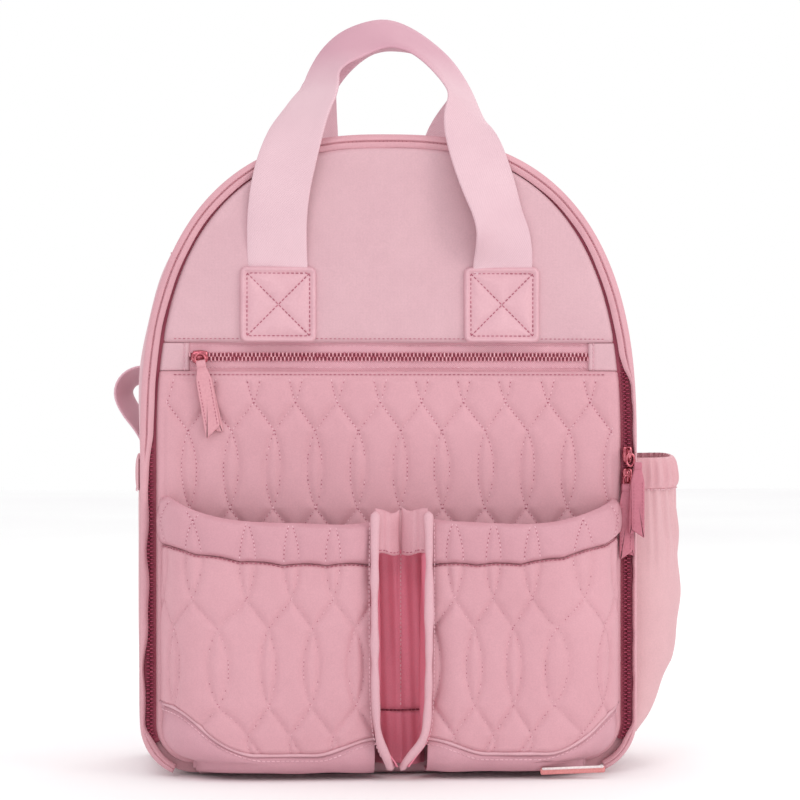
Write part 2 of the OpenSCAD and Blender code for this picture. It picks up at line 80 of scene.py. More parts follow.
def xyz(x, y, z):
    """Places from three coordinates, any of which may be one number."""
    return np.stack(np.broadcast_arrays(x, y, z), -1)


def alike(vector, count):
    """The same vector count times."""
    return np.tile(np.asarray(vector, float), (count, 1))


def lattice(a, b):
    """Two rows of values made into a grid of both."""
    return np.meshgrid(a, b, indexing="ij")


def mirrored(half):
    """A path from the middle line up the right side, carried on down the left side."""
    return np.concatenate([half, (half * [-1, 1])[::-1][1:]])


def wobble(a, b, seed, waves=5, low=0.01, high=0.05):
    """Smooth seeded noise of two coordinates, about -1..1."""
    rng = np.random.default_rng(seed)
    out = np.zeros(np.broadcast(a, b).shape)
    for _ in range(waves):
        angle, size, shift = rng.uniform(0, math.pi), rng.uniform(low, high), rng.uniform(0, 6.28)
        out += np.sin((a * math.cos(angle) + b * math.sin(angle)) * size * 6.28 + shift)
    return out / waves ** 0.5 / 1.2


# ---------------------------------------------------------------- mesh tools

def quads(nu, nv, closed=False):
    """Faces of a grid whose vertex (i, j) is number i * nv + j; closed joins the last i to the first."""
    i, j = lattice(np.arange(nu if closed else nu - 1), np.arange(nv - 1))
    k = (i + 1) % nu
    return np.stack([i * nv + j, k * nv + j, k * nv + j + 1, i * nv + j + 1], -1).reshape(-1, 4)


def volume(verts, faces):
    """Six times the volume inside the faces, negative when they face inwards."""
    total = 0.0
    for f in faces:
        a = verts[f[:, 0]]
        for k in range(1, f.shape[1] - 1):
            total += np.einsum("ij,ij->i", a, np.cross(verts[f[:, k]], verts[f[:, k + 1]])).sum()
    return total


def join(parts):
    """Several (verts, faces, uv) made into one."""
    verts, faces, uvs, n = [], [], [], 0
    for v, fs, uv in parts:
        verts.append(v)
        faces += [f + n for f in fs]
        uvs.append(np.zeros((len(v), 2)) if uv is None else uv)
        n += len(v)
    return np.concatenate(verts), faces, np.concatenate(uvs)


def piece(name, part, body, material, slot, *nodes, shade=True):
    """Makes a shown object from (verts, faces, uv) in millimetres, parents it to its body and hides the CAD nodes it
    stands for.
    """
    verts, faces, uv = part
    verts = np.asarray(verts, float)
    if volume(verts, faces) < 0:
        faces = [f[:, ::-1] for f in faces]
    mesh = bpy.data.meshes.new(name)
    mesh.vertices.add(len(verts))
    mesh.vertices.foreach_set("co", (verts * MM).astype(np.float32).ravel())
    loops = np.concatenate([f.ravel() for f in faces]).astype(np.int32)
    sizes = np.concatenate([np.full(len(f), f.shape[1]) for f in faces])
    mesh.loops.add(len(loops))
    mesh.loops.foreach_set("vertex_index", loops)
    mesh.polygons.add(len(sizes))
    mesh.polygons.foreach_set("loop_start", np.concatenate([[0], np.cumsum(sizes)[:-1]]).astype(np.int32))
    mesh.polygons.foreach_set("use_smooth", np.full(len(sizes), shade))
    if uv is not None:
        layer = mesh.uv_layers.new(name="UVMap")
        layer.data.foreach_set("uv", (np.asarray(uv) * MM)[loops].astype(np.float32).ravel())
    mesh.update(calc_edges=True)
    mesh.validate()
    obj = bpy.data.objects.new(name, mesh)
    bpy.context.scene.collection.objects.link(obj)
    mesh.materials.append(material)
    if body is not None:
        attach(obj, body)
    if nodes:
        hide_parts(*nodes)
    return obj


def shell(outer, inner, closed=False, uv=None):
    """A closed skin from two grids of the same shape, joined round their edges."""
    nu, nv = outer.shape[:2]
    n = nu * nv
    index = np.arange(n).reshape(nu, nv)
    faces = [quads(nu, nv, closed), quads(nu, nv, closed)[:, ::-1] + n]
    if closed:
        loops = [np.append(index[:, 0], index[0, 0]), np.append(index[:, -1], index[0, -1])[::-1]]
    else:
        loops = [np.concatenate([index[:-1, 0], index[-1, :-1], index[:0:-1, -1], index[0, ::-1]])]
    for a in loops:
        faces.append(np.stack([a[1:], a[:-1], a[:-1] + n, a[1:] + n], -1))
    if uv is not None:
        uv = np.concatenate([uv.reshape(-1, 2)] * 2)
    return np.concatenate([outer.reshape(-1, 3), inner.reshape(-1, 3)]), faces, uv


def tangents(path, closed=False):
    if closed:
        return unit(np.roll(path, -1, 0) - np.roll(path, 1, 0))
    return unit(np.gradient(path, axis=0))


def lengths(path):
    """Distance along the path at each of its points."""
    return np.concatenate([[0], np.cumsum(np.linalg.norm(np.diff(path, axis=0), axis=1))])


def end_distance(path):
    """Distance along the path to its nearer end."""
    s = lengths(path)
    return np.minimum(s, s[-1] - s)


def sample(at, s, values):
    """Rows of values, known at distances s, read at other distances."""
    return np.stack([np.interp(at, s, values[:, k]) for k in range(values.shape[1])], 1)


def resample(path, step=None, count=None, *others):
    """The path at equal distances, and anything else that goes along it."""
    s = lengths(path)
    n = count or max(2, int(round(s[-1] / step)) + 1)
    t = np.linspace(0, s[-1], n)
    out = [sample(t, s, a) for a in (path, *others)]
    return out if others else out[0]


def smooth_path(points, step=3.0, rounds=3):
    """A soft curve through the neighbourhood of a few corner points (corner cutting)."""
    p = np.asarray(points, float)
    for _ in range(rounds):
        q = np.empty((2 * len(p) - 2, p.shape[1]))
        q[0::2] = 0.75 * p[:-1] + 0.25 * p[1:]
        q[1::2] = 0.25 * p[:-1] + 0.75 * p[1:]
        p = np.concatenate([p[:1], q, p[-1:]])
    return resample(p, step)


def sweep(path, side, out, profile, closed=False):
    """Sweeps a closed profile, (m, 2) or (n, m, 2) in side and out, along the path, with capped ends."""
    n = len(path)
    profile = np.broadcast_to(np.asarray(profile, float), (n,) + np.shape(profile)[-2:])
    m = profile.shape[1]
    verts = path[:, None] + profile[..., :1] * side[:, None] + profile[..., 1:] * out[:, None]
    i, j = lattice(np.arange(n if closed else n - 1), np.arange(m))
    k, l = (i + 1) % n, (j + 1) % m
    faces = [np.stack([i * m + j, k * m + j, k * m + l, i * m + l], -1).reshape(-1, 4)]
    along = lengths(path)
    uv = np.stack([np.repeat(along, m), profile[..., 0].ravel()], 1)
    verts = verts.reshape(-1, 3)
    if not closed:
        ends = np.stack([verts[:m].mean(0), verts[-m:].mean(0)])
        j = np.arange(m)
        faces.append(np.stack([j, (j + 1) % m, np.full(m, n * m)], 1))
        faces.append(np.stack([(n - 1) * m + (j + 1) % m, (n - 1) * m + j, np.full(m, n * m + 1)], 1))
        verts = np.concatenate([verts, ends])
        uv = np.concatenate([uv, [[0, 0], [along[-1], 0]]])
    return verts, faces, uv


def carried(path, first, closed=False):
    """Side and out vectors carried along a path without twist."""
    t = tangents(path, closed)
    side = np.empty_like(path)
    side[0] = unit(np.asarray(first, float) - np.dot(first, t[0]) * t[0])
    for k in range(1, len(path)):
        v = side[k - 1] - np.dot(side[k - 1], t[k]) * t[k]
        side[k] = v / np.linalg.norm(v)
    return side, np.cross(t, side)


def circle(r, m=10):
    a = np.arange(m) * 2 * math.pi / m
    return np.stack([np.cos(a), np.sin(a)], 1) * r


def tube(path, r, first=(0.0, 1.0, 0.0), m=10, closed=False):
    """A round tube along the path, of one radius or one for each point."""
    side, out = carried(path, first, closed)
    r = np.broadcast_to(np.asarray(r, float), (len(path),))
    return sweep(path, side, out, circle(1.0, m)[None] * r[:, None, None], closed)


def band_profile(width, thick, edge=None, m=4):
    """A flat strap's section with rounded edges."""
    edge = thick / 2 if edge is None else edge
    a = np.linspace(-math.pi / 2, math.pi / 2, m + 1)
    right = np.stack([width / 2 - edge + edge * np.cos(a), thick / 2 * np.sin(a)], 1)
    left = -right
    flat = np.linspace(-1, 1, 7)[1:-1] * (width / 2 - edge)
    top = np.stack([flat[::-1], np.full(5, thick / 2)], 1)
    low = np.stack([flat, np.full(5, -thick / 2)], 1)
    return np.concatenate([right, top, left, low])


def copies(template, origins, x, y, z):
    """Copies of a (verts, faces) template, one for each origin and set of axes."""
    tv, tf = template
    n, m = len(origins), len(tv)
    verts = origins[:, None] + sum(tv[None, :, k:k + 1] * axis[:, None] for k, axis in enumerate((x, y, z)))
    faces = [(f[None] + (np.arange(n) * m)[:, None, None]).reshape(-1, f.shape[1]) for f in tf]
    return verts.reshape(-1, 3), faces, None


def capsule(length, r, m=6):
    """A short thread lying along x, slightly flattened."""
    path = np.array([[-0.5, 0, 0], [-0.36, 0, 0.3 * r], [0.36, 0, 0.3 * r], [0.5, 0, 0]]) * [length, 1, 1]
    path[[0, -1], 2] = -0.5 * r
    v, f, _ = sweep(path, alike((0, 1, 0), 4), alike((0, 0, 1), 4),
                    circle(1.0, m)[None] * (r * np.array([0.5, 1, 1, 0.5]))[:, None, None])
    return v, f


def stitches(lines, pitch=2.9, size=2.0, r=0.3, lift=0.1, between=False):
    """Threads along lines of (points, normals), or, between them, dark marks that paint the shade of the needle holes.
    """
    parts = []
    for points, normals in lines:
        p, nrm = resample(points, pitch, None, normals)
        if between:
            p, nrm = (p[1:] + p[:-1]) / 2, (nrm[1:] + nrm[:-1]) / 2
        t = tangents(p)
        nrm = unit(nrm - np.einsum("ij,ij->i", nrm, t)[:, None] * t)
        parts.append(copies(capsule(size, r), p + nrm * lift, t, np.cross(nrm, t), nrm))
    return join(parts)

# ---------------------------------------------------------------- materials

def lin(r, g, b):
    """A screen colour, 0..255, as linear values."""
    return [((c / 255 + 0.055) / 1.055) ** 2.4 if c > 10 else c / 255 / 12.92 for c in (r, g, b)] + [1.0]


class Nodes:
    """Short ways to build one material's nodes."""

    def __init__(self, name, rough, **shader):
        self.mat = bpy.data.materials.new(name)
        self.mat.use_nodes = True
        self.tree = self.mat.node_tree
        self.shader = self.tree.nodes["Principled BSDF"]
        self.shader.inputs["Roughness"].default_value = rough
        for key, value in shader.items():
            self.shader.inputs[key.replace("_", " ")].default_value = value
        self.coords = self.tree.nodes.new("ShaderNodeTexCoord")

    def add(self, kind, **values):
        node = self.tree.nodes.new("ShaderNode" + kind)
        for key, value in values.items():
            if key in node.inputs:
                node.inputs[key].default_value = value
            else:
                setattr(node, key, value)
        return node

    def link(self, a, b):
        self.tree.links.new(a, b)

    def noise(self, size, detail=2.0, where="Object", distortion=0.0):
        """Noise whose features are about this size in millimetres."""
        n = self.add("TexNoise", Scale=1000.0 / size, Detail=detail, Distortion=distortion)
        self.link(self.coords.outputs[where], n.inputs["Vector"])
        return n.outputs["Fac"]

    def bands(self, size, direction="X", where="Object", turn=0.0, profile="SIN"):
        """Parallel ridges this many millimetres apart."""
        m = self.add("Mapping")
        m.inputs["Rotation"].default_value = (0, 0, turn)
        self.link(self.coords.outputs[where], m.inputs["Vector"])
        w = self.add("TexWave", wave_type="BANDS", bands_direction=direction, wave_profile=profile)
        w.inputs["Scale"].default_value = 1000.0 / size / 20.0 * 6.2832
        self.link(m.outputs["Vector"], w.inputs["Vector"])
        return w.outputs["Fac"]

    def ramp(self, fac, *stops):
        r = self.add("ValToRGB")
        e = r.color_ramp.elements
        while len(e) < len(stops):
            e.new(0.5)
        for k, (at, colour) in enumerate(stops):
            e[k].position = at
            e[k].color = colour
        self.link(fac, r.inputs["Fac"])
        return r.outputs["Color"]

    def mix(self, a, b, fac=0.5, mode="MIX"):
        m = self.add("Mix", data_type="RGBA", blend_type=mode)
        for value, socket in ((fac, m.inputs[0]), (a, m.inputs[6]), (b, m.inputs[7])):
            if isinstance(value, bpy.types.NodeSocket):
                self.link(value, socket)
            else:
                socket.default_value = value
        return m.outputs[2]

    def math(self, kind, a, b=0.0):
        m = self.add("Math", operation=kind)
        for value, socket in ((a, m.inputs[0]), (b, m.inputs[1])):
            if isinstance(value, bpy.types.NodeSocket):
                self.link(value, socket)
            else:
                socket.default_value = value
        return m.outputs[0]

    def colour(self, socket):
        self.link(socket, self.shader.inputs["Base Color"])

    def roughness(self, fac, low, high):
        m = self.add("MapRange")
        m.inputs["To Min"].default_value = low
        m.inputs["To Max"].default_value = high
        self.link(fac, m.inputs["Value"])
        self.link(m.outputs["Result"], self.shader.inputs["Roughness"])

    def bump(self, *layers):
        """Layers of (height socket, depth in millimetres)."""
        normal = None
        for height, depth in layers:
            b = self.add("Bump", Distance=depth * MM)
            self.link(height, b.inputs["Height"])
            if normal is not None:
                self.link(normal, b.inputs["Normal"])
            normal = b.outputs["Normal"]
        self.link(normal, self.shader.inputs["Normal"])
        return self.mat


def microfibre(name, dark, light, rough=0.62, sheen=0.25, crease=0.35):
    """Fine woven microfibre: thread bump, slow changes of tone, faint creases and a soft sheen."""
    m = Nodes(name, rough, Sheen_Weight=sheen, Sheen_Roughness=0.45, Specular_IOR_Level=0.35)
    m.shader.inputs["Sheen Tint"].default_value = light
    tone = m.noise(70.0, 3.0)
    grain = m.noise(0.9, 2.0)
    cloud = m.noise(9.0, 4.0, distortion=0.6)
    base = m.ramp(tone, (0.28, dark), (0.72, light))
    speck = m.ramp(grain, (0.3, lin(232, 232, 232)), (0.7, lin(255, 255, 255)))
    mottle = m.ramp(cloud, (0.3, lin(249, 248, 248)), (0.7, lin(255, 255, 255)))
    m.colour(m.mix(m.mix(base, speck, 0.4, "MULTIPLY"), mottle, 0.6, "MULTIPLY"))
    m.roughness(cloud, rough - 0.05, rough + 0.05)
    weave = m.math("MULTIPLY", m.bands(0.9, "X"), m.bands(0.9, "Z"))
    return m.bump((m.noise(34.0, 2.0, distortion=0.8), crease), (weave, 0.03), (grain, 0.02))


def webbing_cloth(name, dark, light, top_shade=None):
    """Soft twill webbing: slanted ribs from the strap's own length and width; a tint, when given, is painted shade that
    darkens the top of the handles.
    """
    m = Nodes(name, 0.6, Sheen_Weight=0.3, Sheen_Roughness=0.4, Specular_IOR_Level=0.35)
    m.shader.inputs["Sheen Tint"].default_value = light
    rib = m.bands(1.15, "X", "UV", math.radians(52))
    thread = m.bands(0.75, "X", "UV")
    tone = m.noise(45.0, 3.0)
    base = m.ramp(tone, (0.3, dark), (0.7, light))
    # painted shade: from about 435 mm up to 462 mm the colour fades to the tint, darkening the handles' tops
    if top_shade is not None:
        height = m.add("SeparateXYZ")
        m.link(m.coords.outputs["Object"], height.inputs[0])
        top_shade_tint = m.ramp(m.math("MULTIPLY", height.outputs["Z"], 2.0), (0.87, lin(255, 255, 255)), (0.925, top_shade))
        base = m.mix(base, top_shade_tint, 1.0, "MULTIPLY")
    groove = m.ramp(rib, (0.0, lin(242, 236, 239)), (0.6, lin(255, 255, 255)))
    m.colour(m.mix(base, groove, 0.6, "MULTIPLY"))
    return m.bump((m.noise(18.0, 2.0, distortion=0.5), 0.25), (rib, 0.07), (thread, 0.03))


def leather(name, dark, light, rough=0.42, grain=1.0):
    m = Nodes(name, rough, Specular_IOR_Level=0.45, Coat_Weight=0.08, Coat_Roughness=0.4)
    cell = m.add("TexVoronoi", Scale=1000.0 / 1.3, Randomness=1.0)
    m.link(m.coords.outputs["Object"], cell.inputs["Vector"])
    tone = m.noise(14.0, 4.0, distortion=0.4)
    base = m.ramp(tone, (0.3, dark), (0.7, light))
    pore = m.ramp(cell.outputs["Distance"], (0.0, lin(255, 255, 255)), (0.9, lin(228, 214, 218)))
    m.colour(m.mix(base, pore, 0.7 * grain, "MULTIPLY"))
    m.roughness(tone, rough - 0.07, rough + 0.1)
    return m.bump((tone, 0.2 * grain), (cell.outputs["Distance"], 0.09 * grain), (m.noise(0.5, 2.0), 0.03 * grain))


def metal(name, dark, light, rough=0.2):
    m = Nodes(name, rough, Metallic=1.0)
    tone = m.noise(3.0, 3.0)
    m.colour(m.ramp(tone, (0.35, dark), (0.65, light)))
    m.roughness(m.noise(1.2, 3.0), rough - 0.05, rough + 0.12)
    return m.bump((m.noise(0.8, 2.0), 0.012))


def thread(name, dark, light):
    """Sewing thread: a slow change between two tones along a seam and a fine twist."""
    m = Nodes(name, 0.6, Sheen_Weight=0.2)
    m.colour(m.ramp(m.noise(6.0, 2.0), (0.35, dark), (0.65, light)))
    return m.bump((m.bands(0.35, "DIAGONAL"), 0.03))


def woven_tape(name, dark, light):
    m = Nodes(name, 0.7, Sheen_Weight=0.15)
    m.shader.inputs["Sheen Tint"].default_value = light
    rib = m.math("MULTIPLY", m.bands(0.7, "DIAGONAL"), m.bands(0.7, "X"))
    base = m.ramp(m.noise(20.0, 3.0), (0.3, dark), (0.7, light))
    m.colour(m.mix(base, m.ramp(rib, (0.0, lin(225, 215, 218)), (0.5, lin(255, 255, 255))), 0.8, "MULTIPLY"))
    return m.bump((rib, 0.08), (m.noise(5.0, 2.0), 0.1))


SHELL = microfibre("shell_microfibre", lin(208, 166, 175), lin(214, 173, 181))
QUILT = microfibre("quilted_microfibre", lin(207, 153, 163), lin(213, 160, 170), 0.58, 0.22, 0.25)
# painted shade: a darker copy of the quilted microfibre for the pocket cuffs
SHADED_CUFF = microfibre("cuff_microfibre_painted_shade", lin(201, 147, 158), lin(207, 154, 165), 0.58, 0.22, 0.25)
BAND = microfibre("band_microfibre", lin(202, 150, 162), lin(208, 157, 168), 0.6, 0.22, 0.3)
EDGE = microfibre("edge_binding", lin(212, 166, 176), lin(219, 174, 183), 0.6, 0.3, 0.15)
GUARD = microfibre("guard_microfibre", lin(209, 156, 166), lin(217, 165, 174), 0.6, 0.25, 0.3)
SIDE_CLOTH = microfibre("side_microfibre", lin(213, 168, 174), lin(220, 176, 181), 0.6, 0.25, 0.35)
ELASTIC = microfibre("gathered_microfibre", lin(211, 160, 168), lin(218, 168, 175), 0.6, 0.25, 0.3)
PLEAT_CLOTH = microfibre("pleat_microfibre", lin(222, 128, 149), lin(230, 137, 157), 0.62, 0.2, 0.4)
LINING = microfibre("lining_polyester", lin(190, 138, 153), lin(198, 148, 162), 0.5, 0.1, 0.5)
BOARD = microfibre("board_cover", lin(118, 96, 102), lin(130, 106, 112), 0.75, 0.1, 0.1)
# the handles' last colour is a tint of painted shade for their tops
WEBBING = webbing_cloth("handle_webbing", lin(216, 181, 190), lin(223, 189, 197), lin(238, 214, 224))
STRAP_WEBBING = webbing_cloth("strap_webbing", lin(214, 172, 183), lin(222, 182, 192))
LEATHER = leather("trim_leather", lin(210, 148, 158), lin(217, 157, 166), 0.44, 0.7)
PATCH_LEATHER = leather("patch_leather", lin(211, 164, 174), lin(218, 172, 181), 0.46, 0.35)
# painted shade: a darker copy of the trim leather for the main zip's pulls, which hang in shade
SHADED_PULL_LEATHER = leather("pull_leather_painted_shade", lin(184, 106, 124), lin(194, 116, 133), 0.44, 0.7)
LABEL = leather("label_leather", lin(216, 136, 136), lin(224, 147, 145), 0.5)
# painted highlight: a near-white strip along the label's top
LABEL_HIGHLIGHT = leather("label_painted_highlight", lin(236, 226, 225), lin(242, 234, 232), 0.5)
TAPE = woven_tape("zip_tape_weave", lin(220, 166, 178), lin(228, 176, 186))
# painted shade: dark wine tape for the main zip's groove and for a strip behind the front zip's teeth, where pale tape
# lies in shade
SHADED_TAPE = woven_tape("zip_tape_painted_shade", lin(150, 62, 82), lin(160, 72, 92))
METAL = metal("rose_gold", lin(166, 78, 92), lin(204, 118, 128), 0.16)
TOOTH_METAL = metal("tooth_metal", lin(206, 134, 148), lin(240, 190, 198), 0.2)
# painted shade: the main zip's teeth are darkened to the wine of the shaded groove they sit in
GROOVE_SHADE_METAL = metal("wine_metal", lin(138, 56, 78), lin(168, 80, 100), 0.36)
THREAD = thread("stitch_thread", lin(214, 162, 174), lin(232, 188, 198))
# deep thread; its dark marks between quilting threads are also painted shade of the needle holes
DARK_THREAD_AND_HOLE_SHADE = thread("stitch_thread_deep_and_hole_shade", lin(158, 74, 96), lin(184, 106, 124))
WINE_THREAD = thread("stitch_thread_wine", lin(112, 30, 54), lin(128, 40, 64))

# ---------------------------------------------------------------- the bag's outline

upper_hi = span("upper_front_panel")[1]
quilt_lo, quilt_hi = span("quilted_front_panel")
HALF = quilt_hi[0]              # front panel, centre to side seam
TOP = upper_hi[2]
BOTTOM = quilt_lo[2]
FRONT = quilt_lo[1]             # front face of the padded panel
SPRING = 205.0                  # height where the sides turn into the arch
POWER = 2.6                     # squareness of the arch
CORNER = 25.0                   # radius of the lower corners
TOP_GROWTH, BOTTOM_GROWTH = 0.6, 0.8    # how much of d the outline grows by at the top and the bottom
FORWARD = (0, -1, 0)


def sizes(d):
    """Half width, top, bottom and corner radius of the outline grown by d."""
    return HALF + d, TOP + TOP_GROWTH * d, BOTTOM - BOTTOM_GROWTH * d, CORNER + d


def half_outline(d):
    """(x, z) from the bottom's middle up the right side to the top's middle."""
    hw, top, bottom, r = sizes(d)
    a = np.linspace(-math.pi / 2, 0, 40)[1:]
    t = np.linspace(0, math.pi / 2, 500)[1:]
    x = np.concatenate([np.linspace(0, hw - r, 30), hw - r + r * np.cos(a), [hw], hw * np.cos(t) ** (2 / POWER)])
    z = np.concatenate([np.full(30, bottom), bottom + r + r * np.sin(a), [SPRING],
                        SPRING + (top - SPRING) * np.sin(t) ** (2 / POWER)])
    x[-1] = 0
    return np.stack([x, z], 1)


def track(d, z_from, count):
    """The open outline above a height, from the right foot over the top to the left foot."""
    h = half_outline(d)
    k = int(np.argmax(h[:, 1] > z_from))
    if k:
        part = (z_from - h[k - 1, 1]) / (h[k, 1] - h[k - 1, 1])
        h = np.concatenate([h[k - 1:k] + (h[k:k + 1] - h[k - 1:k]) * part, h[k:]])
    return resample(mirrored(h), count=count)


def half_width(z, d=0.0):
    """From the middle line to the outline at height z."""
    h = half_outline(d)[29:]
    return np.interp(z, h[:, 1], h[:, 0])


def inset(x, z, d=0.0):
    """Distance inwards from the outline."""
    hw, top, bottom, r = sizes(d)
    x = np.abs(x)
    u, v = np.maximum(x / hw, 1e-6), np.maximum(z - SPRING, 0) / (top - SPRING)
    g = (u ** POWER + v ** POWER) ** (1 / POWER)
    slope = np.hypot((u / g) ** (POWER - 1) / hw, (v / g) ** (POWER - 1) / (top - SPRING))
    qx, qz = x - (hw - r), bottom + r - z
    low = np.where((qx > 0) & (qz > 0), r - np.hypot(qx, qz), np.minimum(hw - x, z - bottom))
    return np.where(z > SPRING, (1 - g) / slope, low)


def panel_y(x, z):
    """The front's padded face without its quilting: a slight crown and soft waves."""
    rim = smooth(inset(x, z) / 38.0)
    return FRONT - 1.6 * rim - 0.8 * rim * wobble(x, z, 5, 6, 0.004, 0.016)


def roll(dist, radius):
    """How far back a soft edge turns at a distance from it."""
    t = 1 - np.clip(dist / radius, 0, 1)
    return radius * (1 - np.sqrt(np.maximum(1 - t * t, 0)))


def rows(z0, z1, nz, nx, d=0.0):
    """A grid between two heights that reaches the outline on both sides."""
    h = half_outline(d)[29:]
    keep = h[(h[:, 1] > z0) & (h[:, 1] < z1)]
    side = resample(np.concatenate([[[half_width(z0, d), z0]], keep, [[half_width(z1, d), z1]]]), count=nz)
    even, ease = np.linspace(-1, 1, nx), math.pi / 2 * 0.86
    u = 0.75 * even + 0.25 * np.sin(even * ease) / math.sin(ease)     # a little closer towards the edges
    return side[:, :1] * u[None], np.repeat(side[:, 1:], nx, 1)


def height_piece(name, x, z, y_front, y_back, *rest):
    """A piece between two surfaces over the same grid."""
    return piece(name, shell(xyz(x, y_front, z), xyz(x, y_back, z)), *rest)


# ---------------------------------------------------------------- quilting

LENS_H, STEP_H, LENS_A = 49.0, 18.0, 4.8      # a lens, the straight part below it, half a lens' width
ROW_H = LENS_H + STEP_H


def wave(s, pitch):
    """Sideways place of one quilting line s below the top of a lens."""
    s = np.mod(s, 2 * ROW_H)
    bulge = lambda t: LENS_A * (1 - (2 * t - 1) ** 2)
    half = pitch / 2
    return np.select([s < LENS_H, s < ROW_H, s < ROW_H + LENS_H],
                     [bulge(s / LENS_H), -half * (s - LENS_H) / STEP_H, -half - bulge((s - ROW_H) / LENS_H)],
                     -half + half * (s - ROW_H - LENS_H) / STEP_H)


def quilt_distance(x, z, x0, z0, pitch):
    """Distance to the nearest quilting line; a lens hangs down from (x0, z0)."""
    s = z0 - z
    row = np.floor(s / ROW_H)
    t = s - row * ROW_H
    u = np.mod(x - x0 - pitch / 2 * np.mod(row, 2) + pitch / 2, pitch) - pitch / 2
    lens = LENS_A * (1 - (2 * t / LENS_H - 1) ** 2)
    a = np.where(t < LENS_H, lens, pitch / 2 * (t - LENS_H) / STEP_H)
    steep = np.where(t < LENS_H, 4 * LENS_A / LENS_H * np.abs(2 * t / LENS_H - 1), pitch / 2 / STEP_H)
    return np.abs(np.abs(u) - a) / np.hypot(1, steep)


def drift(x, z):
    """Quilting lines aren't perfectly even."""
    return x + 0.7 * wobble(x, z, 21, 4, 0.006, 0.02)


def puff(dist, height=2.4, reach=2.4):
    """How far padding stands out at a distance from the nearest seam."""
    return height * (1 - np.exp(-dist / reach))


def quilt_lines(x0, z0, pitch, x_range, z_top, z_low, keep, surface):
    """Stitch lines over a quilted area: surface gives points from (x, z), keep says which are sewn."""
    z = np.arange(z_top, z_low, -0.7)
    lines = []
    for k in range(int((x_range[0] - x0) / pitch) - 2, int((x_range[1] - x0) / pitch) + 3):
        for sign in (1, -1):
            x = x0 + k * pitch + sign * wave(z0 - z, pitch)
            x = 2 * x - drift(x, z)
            good = keep(x, z) & (x > x_range[0]) & (x < x_range[1])
            cuts = np.flatnonzero(np.diff(good.astype(int))) + 1
            for part in np.split(np.arange(len(z)), cuts):
                if good[part[0]] and len(part) > 8:
                    lines.append(surface(x[part], z[part]))
    return lines


# ---------------------------------------------------------------- front panels

zip_lo, zip_hi = span("front_zip_tapes")
ZIP_Z = (zip_lo[2] + zip_hi[2]) / 2
WINDOW_LOW, WINDOW_HIGH = zip_lo[2], zip_hi[2]
MAIN_X0, MAIN_Z0, MAIN_PITCH = -20.3, 218.4, 26.8
PANEL_BACK = upper_hi[1]
HIDDEN_Z = span("pocket_cuff_left")[0][2]      # below this the pockets cover the panel


def upper_y(x, z):
    fold = z - WINDOW_HIGH
    seam = 0.9 * np.exp(-((fold - 2.6) / 1.2) ** 2)
    folds = 0.5 * np.exp(-fold / 30) * np.sin(x / 13.0 + 0.6 * np.sin(x / 29.0))
    return panel_y(x, z) + roll(inset(x, z), 4.2) + roll(fold, 2.6) + seam - folds * smooth(inset(x, z) / 20)


x, z = rows(WINDOW_HIGH, TOP - 0.02, 110, 190)
height_piece("upper_front_panel_cloth", x, z, upper_y(x, z), PANEL_BACK,
             "front_panel", SHELL, "shell_fabric", "upper_front_panel")


def quilted_y(x, z):
    dist = quilt_distance(drift(x, z), z, MAIN_X0, MAIN_Z0, MAIN_PITCH)
    edge = np.minimum(inset(x, z), WINDOW_LOW - z)
    plain = smooth((edge - 4.5) / 3.0) * smooth((z - HIDDEN_Z + 12) / 12)
    seam = 0.8 * np.exp(-((WINDOW_LOW - z - 3.0) / 1.1) ** 2)
    y = panel_y(x, z) - puff(dist) * plain - 0.7 * (1 - plain) + seam
    return y + roll(inset(x, z), 4.2) + roll(WINDOW_LOW - z, 2.4)


x, z = rows(BOTTOM, WINDOW_LOW, 190, 226)
quilted_front = height_piece("quilted_front_cloth", x, z, quilted_y(x, z), PANEL_BACK,
                             "front_panel", QUILT, "quilted_fabric", "quilted_front_panel")


def on_surface(y_of):
    """Points and normals on a y(x, z) surface that faces the front."""
    def at(x, z):
        h = 0.4
        gx = (y_of(x + h, z) - y_of(x - h, z)) / (2 * h)
        gz = (y_of(x, z + h) - y_of(x, z - h)) / (2 * h)
        return xyz(x, y_of(x, z), z), unit(xyz(gx, -1.0, gz))
    return at


def level(y):
    """A flat surface that faces the front."""
    return lambda x, z: np.full_like(x, y)


# pitch, length and radius of the threads of a topstitched seam, a fine seam and the quilting
SEAM, FINE_SEAM, QUILTING = (3.0, 2.1, 0.3), (2.8, 2.0, 0.28), (2.7, 1.6, 0.34)
# dark marks between quilting threads, painting the shade of the needle holes: pitch, length, radius and lift
NEEDLE_HOLE_SHADE = (2.7, 1.0, 0.4, 0.05)


def sewn(name, lines, body, material, pitch=2.9, size=2.0, r=0.28, slot="quilted_fabric", lift=0.08):
    """A row of threads for each line of (points, normals)."""
    return piece(name, stitches(lines, pitch, size, r, lift), body, material, slot)


def quilted_seam(name, lines, body):
    """Quilting stitches: pale threads, with a dark mark between each two that paints the shade of a needle hole."""
    lines = [(p, nrm) for p, nrm in lines if lengths(p)[-1] > 8]
    sewn(name, lines, body, THREAD, *QUILTING)
    piece(name + "_hole_shade", stitches(lines, *NEEDLE_HOLE_SHADE, between=True), body, DARK_THREAD_AND_HOLE_SHADE, "quilted_fabric")


quilted_seam("panel_quilt_stitches",
             quilt_lines(MAIN_X0, MAIN_Z0, MAIN_PITCH, (-142, 142), WINDOW_LOW - 6, 150,
                         lambda x, z: inset(x, z) > 6, on_surface(quilted_y)), "front_panel")

x = np.linspace(-136, 136, 400)
sewn("front_zip_seam_stitches",
     [on_surface(quilted_y)(x, np.full_like(x, WINDOW_LOW - 2.2)),
      on_surface(upper_y)(x, np.full_like(x, WINDOW_HIGH + 2.4))],
     "front_panel", DARK_THREAD_AND_HOLE_SHADE, pitch=2.8, size=1.7, r=0.32, slot="shell_fabric")

